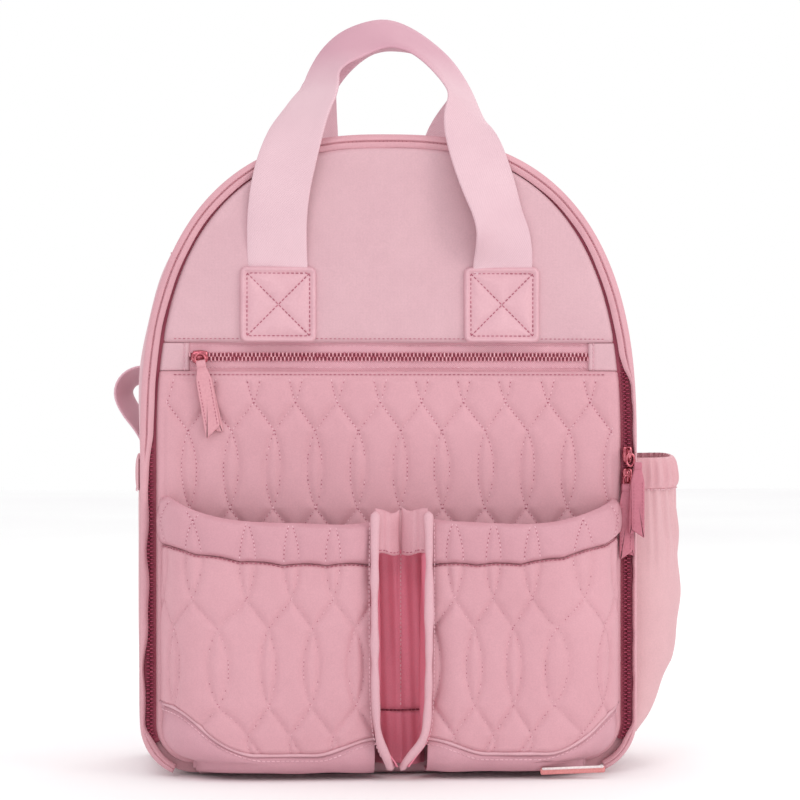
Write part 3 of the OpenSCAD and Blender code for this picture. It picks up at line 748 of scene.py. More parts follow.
# ---------------------------------------------------------------- front pockets

pleat_lo, pleat_hi = span("pleat_back")
PLEAT_X = (pleat_lo[0] + pleat_hi[0]) / 2
PLEAT_HALF = (pleat_hi[0] - pleat_lo[0]) / 2
cuff_lo, cuff_hi = span("pocket_cuff_right")
POCKET_X = cuff_hi[0]
POCKET_DEPTH = FRONT - cuff_lo[1]
SHOULDER = 46.0
BIND_Y = span("pleat_bindings")[0][1] + 3.0


# Heights at x of the cuffs' mouth, of their lower edge and of the seam of the base band.

def mouth_z(x):
    a = np.abs(x - PLEAT_X)
    return 160.8 + 3.0 * np.exp(-(a - 16) / 9) + 15.5 * np.clip((a - 72) / 70, 0, 1.05) ** 2.3 \
        + 0.8 * wobble(x, x * 0, 31, 4, 0.008, 0.02)


def cuff_z(x):
    a = np.abs(x - PLEAT_X)
    rise = np.where(x > PLEAT_X, 17.0, 10.0)
    scallop = 1.3 * np.abs(np.sin((a - 20) / 13.5 * math.pi / 2))
    return 135.0 + rise * np.clip((a - 62) / 80, 0, 1.05) ** 1.9 + scallop


def band_z(x):
    a = np.abs(x - PLEAT_X)
    return 17.0 + 9.5 * (1 - smooth((a - 14) / 44)) + 30.0 * smooth((a - 98) / 49)


def pocket_plan(side, t, z, depth=1.0):
    """A front pocket's wall from the pleat (t = 0) along the front and round to the panel (t = 1)."""
    x_in = PLEAT_X + side * PLEAT_HALF
    x_out = np.minimum(POCKET_X, half_width(z, -5.0))
    front_part = 0.6
    flat = x_out - SHOULDER - side * x_in
    a = np.clip(t / front_part, 0, 1)
    b = np.clip((t - front_part) / (1 - front_part), 0, 1) * math.pi / 2
    x = side * x_in + a * flat + SHOULDER * np.sin(b) ** 0.9
    full = 0.86 + 0.14 * smooth(t / 0.16)
    y = FRONT - POCKET_DEPTH * depth * full * np.cos(b) ** 0.9
    return side * x, y


def pocket_points(side, t, z, depth=1.0):
    """Points and outward normals of the wall, which bulges a little at mid height."""
    x, y = pocket_plan(side, t, z, depth)
    swell = np.sin(np.clip((z - 8) / 160, 0, 1) * math.pi) * np.sin(np.clip(t, 0, 1) * math.pi) ** 0.7
    waves = wobble(t * 140 * side, z, 44, 6, 0.006, 0.02)
    p = xyz(x, y, z)
    n = unit(np.cross(np.gradient(p, axis=0), np.gradient(p, axis=1))) * side
    n = np.where(n[..., 1:2] > 0.15, -n, n)
    return p + n * (2.2 * swell + 0.9 * waves * smooth(t / 0.15) * smooth((1 - t) / 0.2))[..., None], n


def plan_x(side, t):
    return pocket_plan(side, t, np.full_like(t, 100.0))[0]


def along_wall(side, t):
    """Distance along the wall from the pleat, for the quilting."""
    return t * (POCKET_X - side * (PLEAT_X + side * PLEAT_HALF) - SHOULDER) / 0.6


# a lens' top on each pocket's wall (distance from the pleat, height) and the pitch of the lenses
POCKET_QUILT = {-1: (12.5, 96.0, 27.0), 1: (4.1, 96.0, 24.6)}


def pocket_puff(side, t, z, edge):
    x0, z0, pitch = POCKET_QUILT[side]
    dist = quilt_distance(drift(along_wall(side, t), z), z, x0, z0, pitch)
    return puff(dist, 2.6) * smooth(edge / 2.5)


PANEL_T = np.linspace(0, 1, 116)
CUFF_PLUMP = 3.6                # how far a cuff stands out of the pocket's wall


def spread(low, high, v):
    """Rows between two curves along the wall."""
    return low[:, None] + (high - low)[:, None] * v[None]


def edge_ease(v, span_mm, reach=2.6):
    """Distance in mm from the nearer end of 0..1, softened into a rolled seam."""
    d = np.minimum(v, 1 - v) * span_mm
    return d, 1.6 * (1 - np.clip(d / reach, 0, 1)) ** 2


def cuff_bulge(v):
    """A cuff's section from its lower edge (0) to its mouth (1)."""
    return np.sqrt(np.maximum(1 - np.abs(2 * v - 1) ** 2.6, 0))


def wall_line(side, t, z):
    """Points and normals along one line on a pocket's wall."""
    q, m = pocket_points(side, np.stack([t, t], 1), np.stack([z, z + 0.5], 1))
    return q[:, 0], m[:, 0]


def seam_curve(side, curve, lift, dz=0.0):
    """A line that follows a height curve along the wall, stood off by lift and shifted up by dz."""
    t = np.linspace(0.0, 1.0, 260)
    q, m = wall_line(side, t, curve(plan_x(side, t)) + dz)
    return q + m * lift, m


def wall_surface(side, cuff=False):
    """Points and normals for quilting stitches at (distance along the wall, height)."""
    def at(s, z):
        t = s / along_wall(side, 1.0)
        q, m = wall_line(side, t, z)
        if not cuff:
            return q - m * 0.4, m
        low, high = cuff_z(plan_x(side, t)), mouth_z(plan_x(side, t))
        rise = CUFF_PLUMP * cuff_bulge(np.clip((z - low) / (high - low), 0, 1)) - 0.6
        return q + m * rise[:, None], m
    return at


def between(side, low, high, top_gap):
    """Says which (distance along the wall, height) lie clear between two height curves."""
    def keep(s, z):
        x = plan_x(side, s / along_wall(side, 1.0))
        return (z > low(x) + 2.5) & (z < high(x) - top_gap)
    return keep


for side, word in ((-1, "left"), (1, "right")):
    t = PANEL_T
    x = plan_x(side, t)
    # quilted wall
    v = np.linspace(0, 1, 92)
    z = spread(band_z(x), cuff_z(x), v)
    tt = np.repeat(t[:, None], len(v), 1)
    p, n = pocket_points(side, tt, z)
    d, pull = edge_ease(v[None], (cuff_z(x) - band_z(x))[:, None])
    outer = p + n * (pocket_puff(side, tt, z, d) - 0.7 * pull - 0.2)[..., None]
    piece(f"front_pocket_{word}_cloth", shell(outer, p - n * 3.0), "front_panel", QUILT, "quilted_fabric",
          f"front_pocket_{word}")
    # padded cuff
    v = (1 - np.cos(np.linspace(0, math.pi, 34))) / 2
    z = spread(cuff_z(x), mouth_z(x), v)
    tt = np.repeat(t[:, None], len(v), 1)
    p, n = pocket_points(side, tt, z)
    plump = cuff_bulge(v)
    d = np.minimum(v, 1 - v)[None] * 24.0
    outer = p + n * ((CUFF_PLUMP * plump[None] - 0.6) + pocket_puff(side, tt, z, d) * 0.75)[..., None]
    inner = p - n * (3.0 * plump[None] + 0.9)[..., None]
    inner[..., 2] += 0.4 * plump[None]
    # the cuffs' darker material is painted shade
    cuff = piece(f"pocket_cuff_{word}_padded", shell(outer, inner), "front_panel", SHADED_CUFF, "quilted_fabric",
                 f"pocket_cuff_{word}")
    # plain base band, which turns under the pocket
    v = np.linspace(0, 1, 30)
    down = np.clip(v / 0.72, 0, 1)
    under = np.clip((v - 0.72) / 0.28, 0, 1)
    floor_z = BOTTOM - 4.0 + 0.6 * wobble(x, x * 0, 52, 4, 0.006, 0.02)
    z = band_z(x)[:, None] + (floor_z - band_z(x))[:, None] * down[None]
    low = np.clip((z - floor_z[:, None]) / 15.0, 0, 1)
    depth = (0.62 + 0.38 * np.sqrt(1 - (1 - low) ** 2)) * (1 - 0.9 * under[None])
    tt = np.repeat(t[:, None], len(v), 1)
    p = xyz(*pocket_plan(side, tt, z, depth), z)
    n = pocket_points(side, tt, z)[1]
    swell = 1.6 * np.sin(math.pi * np.clip(down / 0.9, 0, 1)) * (1 - under)
    pull = 1.5 * np.exp(-down * 30 / 2.2)
    outer = p + n * (swell[None] - pull[None])[..., None]
    piece(f"base_band_{word}_cloth", shell(outer, outer - n * [1.6, 1.6, 0] + [0, 0, 1.4]), "front_panel", BAND,
          "shell_fabric", f"base_band_{word}")
    # rolled seam between wall and band, and the stitches of the band and the cuff
    piece(f"band_seam_{word}_roll", tube(seam_curve(side, band_z, 0.1)[0], 1.1, (0, 0, 1.0), 10), "front_panel",
          EDGE, "edge_fabric")
    sewn(f"band_stitches_{word}", [seam_curve(side, band_z, 0.9, -3.6)], "front_panel", THREAD, *SEAM,
         "shell_fabric")
    sewn(f"cuff_stitches_{word}", [seam_curve(side, cuff_z, 0.7, -1.0)], "front_panel", DARK_THREAD_AND_HOLE_SHADE, 2.8, 1.7, 0.36,
         lift=0.15)
    quilt = (*POCKET_QUILT[side], (2.0, along_wall(side, 1.0) - 3.0))
    quilted_seam(f"pocket_quilt_stitches_{word}",
                 quilt_lines(*quilt, 175, 14, between(side, band_z, cuff_z, 2.5), wall_surface(side))
                 + quilt_lines(*quilt, 190, 130, between(side, cuff_z, mouth_z, 2.0), wall_surface(side, True)),
                 "front_panel")

# ---------------------------------------------------------------- box pleat

PLEAT_TOP = pleat_hi[2]
FLAP_FOOT = 141.5               # lower edge of the cuffs' ends inside the pleat
PLEAT_SEAM_Z = 42.0
for side, word in ((-1, "left"), (1, "right")):
    x_in = PLEAT_X + side * PLEAT_HALF
    # wall of the pleat, which leans in at the foot
    y, z = lattice(np.linspace(FRONT + 0.5, BIND_Y + 2.5, 26), np.linspace(9, PLEAT_TOP - 20, 70))
    deep = (y - FRONT) / (BIND_Y - FRONT)
    lean = (PLEAT_HALF - 3.0) * (1 - smooth((z - 4) / 26)) * smooth(deep)
    fold = 2.2 * np.sin(deep * math.pi) + 1.4 * np.sin(deep * 9 + z / 22 + side) * smooth(deep * 2)
    outer = xyz(x_in - side * (lean + fold + 0.6), y, z)
    piece(f"pleat_wall_{word}", shell(outer, outer + [side * 1.0, 0, 0]), "front_panel", PLEAT_CLOTH, "pleat_fabric")
    # binding down the pocket's edge
    path = smooth_path([[x_in, BIND_Y + 0.8, PLEAT_TOP + 3.6], [x_in + side * 0.5, BIND_Y, 150],
                        [x_in + side * 0.6, BIND_Y + 0.4, 96], [x_in, BIND_Y + 0.4, 44],
                        [x_in - side * 2.2, BIND_Y + 1.2, 26], [PLEAT_X - 2.5 + side * 6.4, BIND_Y + 3.4, 14],
                        [PLEAT_X - 3.0 + side * 2.9, BIND_Y + 8.0, 6.5]], 2.0)
    side_v, out_v = carried(path, (1.0, 0, 0))
    wide = 2.6 + 0.45 * wobble(path[:, 2], path[:, 2] * 0, 60 + side, 5, 0.01, 0.05)
    close = np.sqrt(np.clip(end_distance(path) / 2.5, 0.05, 1))
    profile = circle(1.0, 16)[None] * np.stack([wide * close, 2.6 * close], 1)[:, None]
    piece(f"pleat_binding_{word}", sweep(path, side_v, out_v, profile), "front_panel", EDGE, "edge_fabric",
          *(["pleat_bindings"] if side > 0 else []))
    seam = path[4:-6] + [side * 3.2, 1.2, 0]
    sewn(f"pleat_binding_stitches_{word}", [(seam, alike((side * 0.2, -1, 0), len(seam)))], "front_panel",
         THREAD, *FINE_SEAM, "edge_fabric", 0.9)
    # folded end of the cuff inside the pleat
    a, v = lattice(np.linspace(0, 1, 24), np.linspace(0, 1, 30))
    top = 168.5 + 2.0 * np.abs(2 * a - 1) ** 2 + side * a
    z = FLAP_FOOT + np.sin(a * 6) + (top - FLAP_FOOT) * v
    x = x_in - side * a * (PLEAT_HALF - 0.7)
    y = BIND_Y + 4.0 + 9.0 * np.sin(a * math.pi / 2) - 2.6 * np.sin(a * math.pi) + 0.5 * np.sin(v * 7 + side)
    plump = 2.6 * np.sqrt(np.clip(1 - np.abs(2 * v - 1) ** 3, 0.01, 1)) * np.sqrt(np.clip(1 - a ** 6, 0.03, 1))
    crease = 0.9 * np.exp(-((a - 0.45) / 0.07) ** 2)
    outer = xyz(x, y - plump + crease, z)
    piece(f"pleat_flap_{word}", shell(outer, xyz(x, y + plump * 0.5 + 0.4, z)), "front_panel", QUILT,
          "quilted_fabric")
    line = outer[1:-2, 2] + [0, 0.3, 0]
    sewn(f"pleat_flap_stitches_{word}", [(line, alike(FORWARD, len(line)))], "front_panel", DARK_THREAD_AND_HOLE_SHADE, 3.0, 2.1, 0.36)


def pleat_y(x, _z):
    """The pleat's back without its creases: it comes forward to a fold in the middle."""
    return FRONT - 4.6 - 4.0 * (1 - np.abs((x - PLEAT_X) / PLEAT_HALF)) ** 1.4


x, z = lattice(np.linspace(pleat_lo[0] + 0.3, pleat_hi[0] - 0.3, 40), np.linspace(BOTTOM + 0.5, PLEAT_TOP - 22, 90))
u = (x - PLEAT_X) / PLEAT_HALF
creases = 0.5 * np.sin(u * 14 + z / 31) + 0.6 * np.sin(z / 15 + u * 3)
seam = 0.9 * np.exp(-(u / 0.06) ** 2) + 1.6 * np.exp(-((z - PLEAT_SEAM_Z) / 1.3) ** 2)
y = pleat_y(x, z) - creases + seam
height_piece("pleat_back_cloth", x, z, y, FRONT - 0.3, "front_panel", PLEAT_CLOTH, "pleat_fabric", "pleat_back")
zz = np.linspace(46, 140, 60)
xx = np.linspace(pleat_lo[0] + 2, pleat_hi[0] - 2, 30)
pleat_face = on_surface(lambda x, z: pleat_y(x, z) + 0.2)
sewn("pleat_back_stitches", [pleat_face(np.full_like(zz, PLEAT_X + 1.2), zz)],
     "front_panel", THREAD, 2.7, 1.7, 0.36, "pleat_fabric")
sewn("pleat_back_seam", [pleat_face(xx, np.full_like(xx, PLEAT_SEAM_Z))],
     "front_panel", WINE_THREAD, 2.6, 2.4, 0.6, "pleat_fabric")

# ---------------------------------------------------------------- gusset, base, back and lining

gusset_lo, gusset_hi = span("gusset")
back_hi = span("back_panel")[1]
SIDE_D = gusset_hi[0] - HALF     # the side band stands this far outside the front panel
SEAM_Z = gusset_lo[2]            # seam between the side band and the base
POCKET_TOP = span("side_pocket_right")[1][2] + 6.0      # the side band is flat behind the side pockets
FRONT_EDGE, BACK_EDGE = gusset_lo[1], gusset_hi[1]
TRACK_FOOT = span("zip_guard")[0][2]
TAPE_Y = span("main_zip_inner_tape")[0][1]


def outward(path):
    """Outward directions in the plane of the front for a path that runs up the right side."""
    t = tangents(path)
    return np.stack([t[:, 1], -t[:, 0]], 1)


def lift_path(path, n, offset, y):
    """3D points from plane points moved outwards by an offset, at depth y."""
    return xyz(path[:, :1] + n[:, :1] * offset, y, path[:, 1:] + n[:, 1:] * offset)


def upright(v):
    """Directions in the plane of the front made into directions in space."""
    return xyz(v[:, 0], 0.0, v[:, 1])


def gusset_offset(s, y, z):
    """How far the side band stands out of its nominal place: fullest at mid depth and on the sides."""
    round_y = np.sqrt(np.maximum(1 - (y / 62.0) ** 2, 0.0))
    low = smooth((z - POCKET_TOP) / 50)
    full = 2.6 * low * (1 - 0.55 * smooth((z - 250) / 120))
    folds = 1.6 * wobble(s, y, 71, 7, 0.005, 0.02) + 0.8 * np.sin(s / 17 + y / 25)
    tuck = -1.6 * np.exp(-((np.abs(y) - 59.0) / 3.0) ** 2)
    return (full + 0.8 * folds * low) * round_y + tuck


path = track(SIDE_D, SEAM_Z, 380)
n = outward(path)
s = lengths(path)
y = BACK_EDGE * np.sin(np.linspace(-1, 1, 44) * math.pi / 2)
off = gusset_offset(s[:, None], y[None], path[:, 1:])
piece("gusset_cloth", shell(lift_path(path, n, off, y), lift_path(path, n, off * 0.6 - 1.4, y)),
      "bag_body", SHELL, "shell_fabric", "gusset")

h = resample(half_outline(SIDE_D), 1.0)
h = h[h[:, 1] < SEAM_Z + 1.5]
base = resample(np.concatenate([(h * [-1, 1])[::-1], h[1:]]), count=240)
n_base = outward(base)
off = -0.3 - 1.3 * np.exp(-((np.abs(y) - 59.5) / 2.5) ** 2)[None]
corner = smooth((np.abs(base[:, :1]) - 100) / 30) * smooth((36 - base[:, 1:]) / 20)
off = off - 1.2 * corner * (1 + np.sin(y / 9 + 1)[None]) * 0.5
off = off + 0.9 * np.exp(-(end_distance(base)[:, None] / 2.5) ** 2)
outer = lift_path(base, n_base, off, y)
outer[..., 2] = np.maximum(outer[..., 2], 0.25)
inner = lift_path(base, n_base, off - 2.4, y)
piece("base_cloth", shell(outer, inner), "bag_body", SHELL, "shell_fabric", "base_panel")


# Flap beside the zip. It covers the teeth over the arch and stands back where the sliders run.
GUARD_D, GUARD_FOOT = 6.0, 6.0   # its track's distance outside the front panel, and its lowest end
RIGHT_SLACK, LEFT_SLACK = 4.6, 3.8
path = track(GUARD_D, GUARD_FOOT, 620)
n = outward(path)
s = lengths(path)
on_right = path[:, 0] > 0
closed_by = np.where(on_right, smooth((path[:, 1] - 246) / 24), smooth((path[:, 1] - 192) / 26))
closed_by = np.maximum(closed_by, 0.5 - 0.5 * smooth((path[:, 1] - 20) / 14))
sway = wobble(s, s * 0, 81, 6, 0.006, 0.03)
d_in = 1.7 + np.where(on_right, RIGHT_SLACK, LEFT_SLACK) * (1 - closed_by) + (0.3 + 1.3 * (1 - closed_by)) * sway
d_in = np.where(on_right, np.maximum(d_in, 7.4 * (1 - closed_by)), d_in)
u = np.linspace(0, 1, 33)
d_out = SIDE_D + 0.2
front_d = d_in[:, None] + (d_out - d_in[:, None]) * u
crown = 1 - np.abs(2 * u - 1) ** 2.4
crease = 1.9 * np.exp(-((u - 0.5) / 0.055) ** 2) * closed_by[:, None]
gathers = 0.22 * wobble(s[:, None], u[None] * 6, 84, 7, 0.03, 0.09)
front_h = -FRONT_EDGE + 6.3 + (1.5 + 0.5 * (1 - closed_by[:, None])) * crown[None] + gathers * crown[None] - crease
step_d = SIDE_D - 1.5
flap_d = step_d + (np.minimum(d_in + 0.5, step_d - 0.1)[:, None] - step_d) * np.linspace(0, 1, 6)
side_d = np.tile([d_out, d_out, step_d], (len(path), 1))
side_h = np.tile([-FRONT_EDGE + 3.4, -FRONT_EDGE + 0.4, -FRONT_EDGE + 0.4], (len(path), 1))
profile = np.stack([np.concatenate([front_d, side_d, flap_d], 1) - GUARD_D,
                    np.concatenate([front_h, side_h, np.full(flap_d.shape, -FRONT_EDGE + 5.9)], 1)], -1)
piece("zip_guard_flap", sweep(upright(path), upright(n), alike(FORWARD, len(path)), profile), "bag_body", GUARD,
      "edge_fabric", "zip_guard")

# tapes of the main zip: from d0 to d1 outside the front panel, y0 and y1 behind the tape's face
for name, body, d0, d1, y0, y1 in (("main_zip_inner_tape", "front_panel", -2.0, 3.8, 0.6, 0.1),
                                    ("main_zip_outer_tape", "bag_body", 4.2, 8.2, 0.1, 0.5)):
    path = track((d0 + d1) / 2, TRACK_FOOT, 420)
    n = outward(path)
    across = np.linspace(-0.5, 0.5, 6)
    depth = TAPE_Y + np.linspace(y0, y1, 6)
    grid = lift_path(path, n, np.tile(across * (d1 - d0), (len(path), 1)), depth[None])
    # the dark wine tape colour is painted shade of the groove
    piece(name + "_cloth", shell(grid, grid + [0, 0.8, 0]), body, SHADED_TAPE, "zip_tape", name)


# cloth that closes the corners from the end of the zip to the hinge
FOOT_D, FOOT_X = 3.2, 110        # its distance outside the front panel, and where it starts
FOOT_WIDTH = np.linspace(-2.7, 3.4, 8)
run = resample(half_outline(FOOT_D), 1.5)
run = run[(run[:, 1] < TRACK_FOOT + 5) & (run[:, 0] > FOOT_X)]
for word, path in (("right", run), ("left", (run * [-1, 1])[::-1])):
    grid = lift_path(path, outward(path), FOOT_WIDTH, FRONT_EDGE - 1.4)
    grid[..., 2] = np.maximum(grid[..., 2], 0.3)
    piece(f"foot_corner_{word}_cloth", shell(grid, grid + [0, 1.0, 0]), "bag_body", GUARD, "shell_fabric")


def chamfered(length, reach, thick, bevel=0.3):
    """A tooth: length along the chain (x), reach across it (y) and thickness (z), with a bevelled face."""
    def ring(k, h, e):
        x, y0, y1 = length / 2 - e, e * 0.3, reach - e
        return [[-x, y0, h], [x, y0, h], [x * k, y1, h], [-x * k, y1, h]]
    v = np.array(ring(0.9, 0, 0.1) + ring(0.9, thick - bevel, 0) + ring(0.85, thick, bevel))
    f = [[3, 2, 1, 0], [8, 9, 10, 11]]
    for k in (0, 4):
        f += [[k + i, k + (i + 1) % 4, k + 4 + (i + 1) % 4, k + 4 + i] for i in range(4)]
    return v, [np.array(f)]


PITCH = 2.45                     # from one tooth to the next in the same row


def tooth_row(path, n, root, sign, shift, y_back, reach=2.5, thick=2.3):
    """Teeth along a path, rooted root outside it and reaching back towards it; shift is in pitches."""
    p, nn = resample(path, 0.5, None, n)
    s = lengths(p)
    at = np.arange(PITCH * (0.5 + shift), s[-1] - 1.0, PITCH)
    nn = unit(sample(at, s, nn))
    q = sample(at, s, p) + nn * root
    n3, front = upright(nn) * sign, alike(FORWARD, len(q))
    return copies(chamfered(1.25, reach, thick), xyz(q[:, 0], y_back, q[:, 1]), np.cross(n3, front), n3, front)


path = track(4.0, TRACK_FOOT, 700)
n = outward(path)
for name, body, side, shift in (("main_zip_inner_teeth", "front_panel", 1, 0.0),
                                ("main_zip_outer_teeth", "bag_body", -1, 0.5)):
    # the teeth's dark wine colour is painted shade of the groove
    piece(name + "_row", tooth_row(path, n, -2.2 * side, side, shift, TAPE_Y + 1.1), body, GROOVE_SHADE_METAL, "zip_metal",
          name, shade=False)

# padded back
x, z = rows(sizes(SIDE_D)[2] + 0.4, sizes(SIDE_D)[1] - 0.05, 150, 150, SIDE_D)
edge = inset(x, z, SIDE_D)
lines = np.minimum(np.abs(np.abs(x) - 46 - 8 * np.cos(z / 95)), np.abs(z - 96))
pad = puff(lines, 2.6, 5.0) * smooth((edge - 10) / 10) + 2.2 * smooth(edge / 14)
y = back_hi[1] - 2.6 + pad - roll(edge, 5.0) + 0.6 * wobble(x, z, 91, 5, 0.004, 0.012) * smooth(edge / 30)
back = height_piece("back_panel_padded", x, z, y, BACK_EDGE + 0.2, "bag_body", SHELL, "shell_fabric", "back_panel")

h = half_outline(SIDE_D + 0.6)
h = h[h[:, 1] > 6.0]
pipe = resample(mirrored(h), 3.0)
piece("back_piping_roll", tube(xyz(pipe[:, 0], BACK_EDGE + 0.4, pipe[:, 1]), 1.7, m=12), "bag_body", EDGE,
      "edge_fabric", "back_piping")

# lining, kept as the CAD has it, with a hem round its front edge
path = track(SIDE_D - 3.6, TRACK_FOOT, 300)
piece("lining_hem", tube(xyz(path[:, 0], FRONT_EDGE + 1.6, path[:, 1]), 1.1, m=8), "bag_body", LINING, "lining")
org_lo, org_hi = span("organizer_pocket")
x = np.linspace(org_lo[0] + 2, org_hi[0] - 2, 120)
mouth = xyz(x, org_lo[1] + 0.6 + np.minimum(1.2 * np.sin(x / 21), 0), org_hi[2] + 0.6)
piece("organizer_elastic", tube(mouth, 1.8), "bag_body", EDGE, "lining")

# hinge strip: cloth that joins the front panel's foot to the bag
hinge_lo, hinge_hi = span("hinge_piping")
strip_x = np.linspace(hinge_lo[0] - 9, hinge_hi[0] + 9, 90)
section = np.array([[FRONT + 5.0, 11.0], [FRONT + 2.2, 9.5], [FRONT + 1.6, 6.5], [FRONT + 3.0, 3.0],
                    [FRONT + 6.0, 1.1], [FRONT + 9.5, 1.0], [FRONT + 12.0, 1.4]])
section = smooth_path(section, 0.7)
grid = xyz(strip_x[:, None], section[:, 0], section[:, 1])
grid[..., 1] += 0.3 * np.sin(strip_x / 9)[:, None]
thick = np.gradient(section, axis=0)
thick = unit(np.stack([thick[:, 1], -thick[:, 0]], 1))
inner = grid.copy()
inner[..., 1:] -= thick[None] * 1.0
strip = piece("hinge_strip", shell(grid, inner), None, SHELL, "shell_fabric", "hinge_piping")
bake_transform(strip)

# ---------------------------------------------------------------- front zip

def plate(poly, heights, place, axes):
    """A solid from a rounded outline: heights is (inset, height) from the back edge to the front's middle."""
    poly = np.asarray(poly, float)
    t = tangents(poly, True)
    inward = np.stack([-t[:, 1], t[:, 0]], 1)
    centre = poly.mean(0)
    rings = [np.column_stack([poly + inward * e, np.full(len(poly), h)]) for e, h in heights]
    n, m = len(rings), len(poly)
    v = np.concatenate(rings + [[[*centre, heights[0][1]], [*centre, heights[-1][1]]]])
    j = np.arange(m)
    f = [quads_ring(n, m), np.stack([(j + 1) % m, j, np.full(m, n * m)], 1),
         np.stack([(n - 1) * m + j, (n - 1) * m + (j + 1) % m, np.full(m, n * m + 1)], 1)]
    x, y, z = (np.asarray(a, float) for a in axes)
    world = np.asarray(place) + v[:, :1] * x + v[:, 1:2] * y + v[:, 2:] * z
    return world, f, v[:, :2].copy()


def quads_ring(n, m):
    """Faces between n closed rings of m vertices."""
    i, j = lattice(np.arange(n - 1), np.arange(m))
    k = (j + 1) % m
    return np.stack([i * m + j, i * m + k, (i + 1) * m + k, (i + 1) * m + j], -1).reshape(-1, 4)


def rounded(points, radius, step=0.8):
    """A polygon, anticlockwise, with its corners rounded."""
    p = np.asarray(points, float)
    out = []
    for k in range(len(p)):
        a, b, c = p[k - 1], p[k], p[(k + 1) % len(p)]
        r = min(radius, np.linalg.norm(a - b) / 2.1, np.linalg.norm(c - b) / 2.1)
        u, w = b + (a - b) / np.linalg.norm(a - b) * r, b + (c - b) / np.linalg.norm(c - b) * r
        s = np.linspace(0, 1, 6)[:, None]
        out.append((1 - s) ** 2 * u + 2 * s * (1 - s) * b + s ** 2 * w)
    out = np.concatenate(out + [out[0][:1]])
    return resample(out, step)[:-1]


FRONT_AXES = ((1, 0, 0), (0, 0, 1), (0, -1, 0))      # across, up, towards the viewer
SOFT_EDGE = [(0.5, 0.0), (0.12, 0.16), (0.0, 0.5), (0.12, 0.84), (0.5, 1.0)]


def soft_heights(thick, round_edge=1.0, crown=0.0):
    """The section of a plate's edge, for plate()."""
    out = [(e * round_edge, h * thick) for e, h in SOFT_EDGE]
    return out + [(1.6 * round_edge, thick + crown * 0.5)]


for name, z0, z1 in (("lower", WINDOW_LOW - 3.0, ZIP_Z - 0.2), ("upper", ZIP_Z + 0.2, WINDOW_HIGH + 3.0)):
    x, z = lattice(np.linspace(zip_lo[0] - 3, zip_hi[0] + 3, 200), np.linspace(z0, z1, 12))
    y = TAPE_Y + 0.5 - 0.35 * np.cos((z - ZIP_Z) / 9 * math.pi / 2) + 0.25 * np.sin(x / 17)
    height_piece(f"front_zip_tape_{name}", x, z, y, TAPE_Y + 1.4, "front_panel", TAPE, "zip_tape",
                 *(["front_zip_tapes"] if name == "lower" else []))
# a dark wine strip behind the teeth: painted shade between them
SHADE_STRIP_HALF = 2.3
x, z = lattice(np.linspace(zip_lo[0], zip_hi[0], 200), np.linspace(ZIP_Z - SHADE_STRIP_HALF, ZIP_Z + SHADE_STRIP_HALF, 6))
height_piece("front_zip_shade_strip", x, z, TAPE_Y - 0.25, TAPE_Y + 0.9, "front_panel", SHADED_TAPE, "zip_tape")
x = np.linspace(zip_lo[0], zip_hi[0], 300)
tape_face = on_surface(level(TAPE_Y + 0.2))
sewn("front_zip_tape_stitches", [tape_face(x, np.full_like(x, z)) for z in (WINDOW_LOW + 2.2, WINDOW_HIGH - 2.0)],
     "front_panel", THREAD, 3.0, 2.1, 0.24, "zip_tape")

row = np.stack([np.linspace(zip_lo[0], zip_hi[0], 500), np.full(500, ZIP_Z)], 1)
for word, side, shift in (("upper", 1, 0.0), ("lower", -1, 0.5)):
    teeth = tooth_row(row, alike((0, 1), 500), 2.85 * side, -side, shift, TAPE_Y + 1.0, 3.1, 2.6)
    piece(f"front_zip_{word}_row", teeth, "front_panel", TOOTH_METAL, "zip_metal", f"front_zip_teeth_{word}",
          shade=False)

tab_lo, tab_hi = span("front_zip_end_tabs")
for side, word in ((-1, "left"), (1, "right")):
    x_in = side * (zip_hi[0] - 1.0)
    u, z = lattice(np.linspace(0, 1, 28), np.linspace(tab_lo[2] + 0.2, tab_hi[2] - 0.2, 26))
    x = x_in + (side * (half_width(z) - 0.4) - x_in) * u
    y = FRONT + 1.2 + roll(u * 14, 1.8) * 0.8 + roll((1 - u) * 16, 3.4) * 0.7 \
        + 0.5 * roll(np.minimum(z - tab_lo[2], tab_hi[2] - z), 1.8) + 0.5 * np.exp(-((u * 17 - 3.2) / 0.8) ** 2)
    height_piece(f"front_zip_end_tab_{word}", x, z, y, FRONT + 6.0, "front_panel", SHELL, "shell_fabric",
                 *(["front_zip_end_tabs"] if side > 0 else []))
    zz = np.linspace(tab_lo[2] + 1, tab_hi[2] - 1, 20)
    sewn(f"front_zip_end_stitches_{word}", [on_surface(level(FRONT + 1.5))(np.full_like(zz, x_in + side * 3.2), zz)],
         "front_panel", THREAD, *FINE_SEAM, "shell_fabric")

# ---------------------------------------------------------------- sliders and pulls

slide_lo, slide_hi = span("front_zip_slider")
SLIDER_X = (slide_lo[0] + slide_hi[0]) / 2
PULL_T = 1.5                    # thickness of one layer of a pull's leather


def turn(count):
    """Angles once round a circle."""
    return np.linspace(0, 2 * math.pi, count + 1)[:-1]


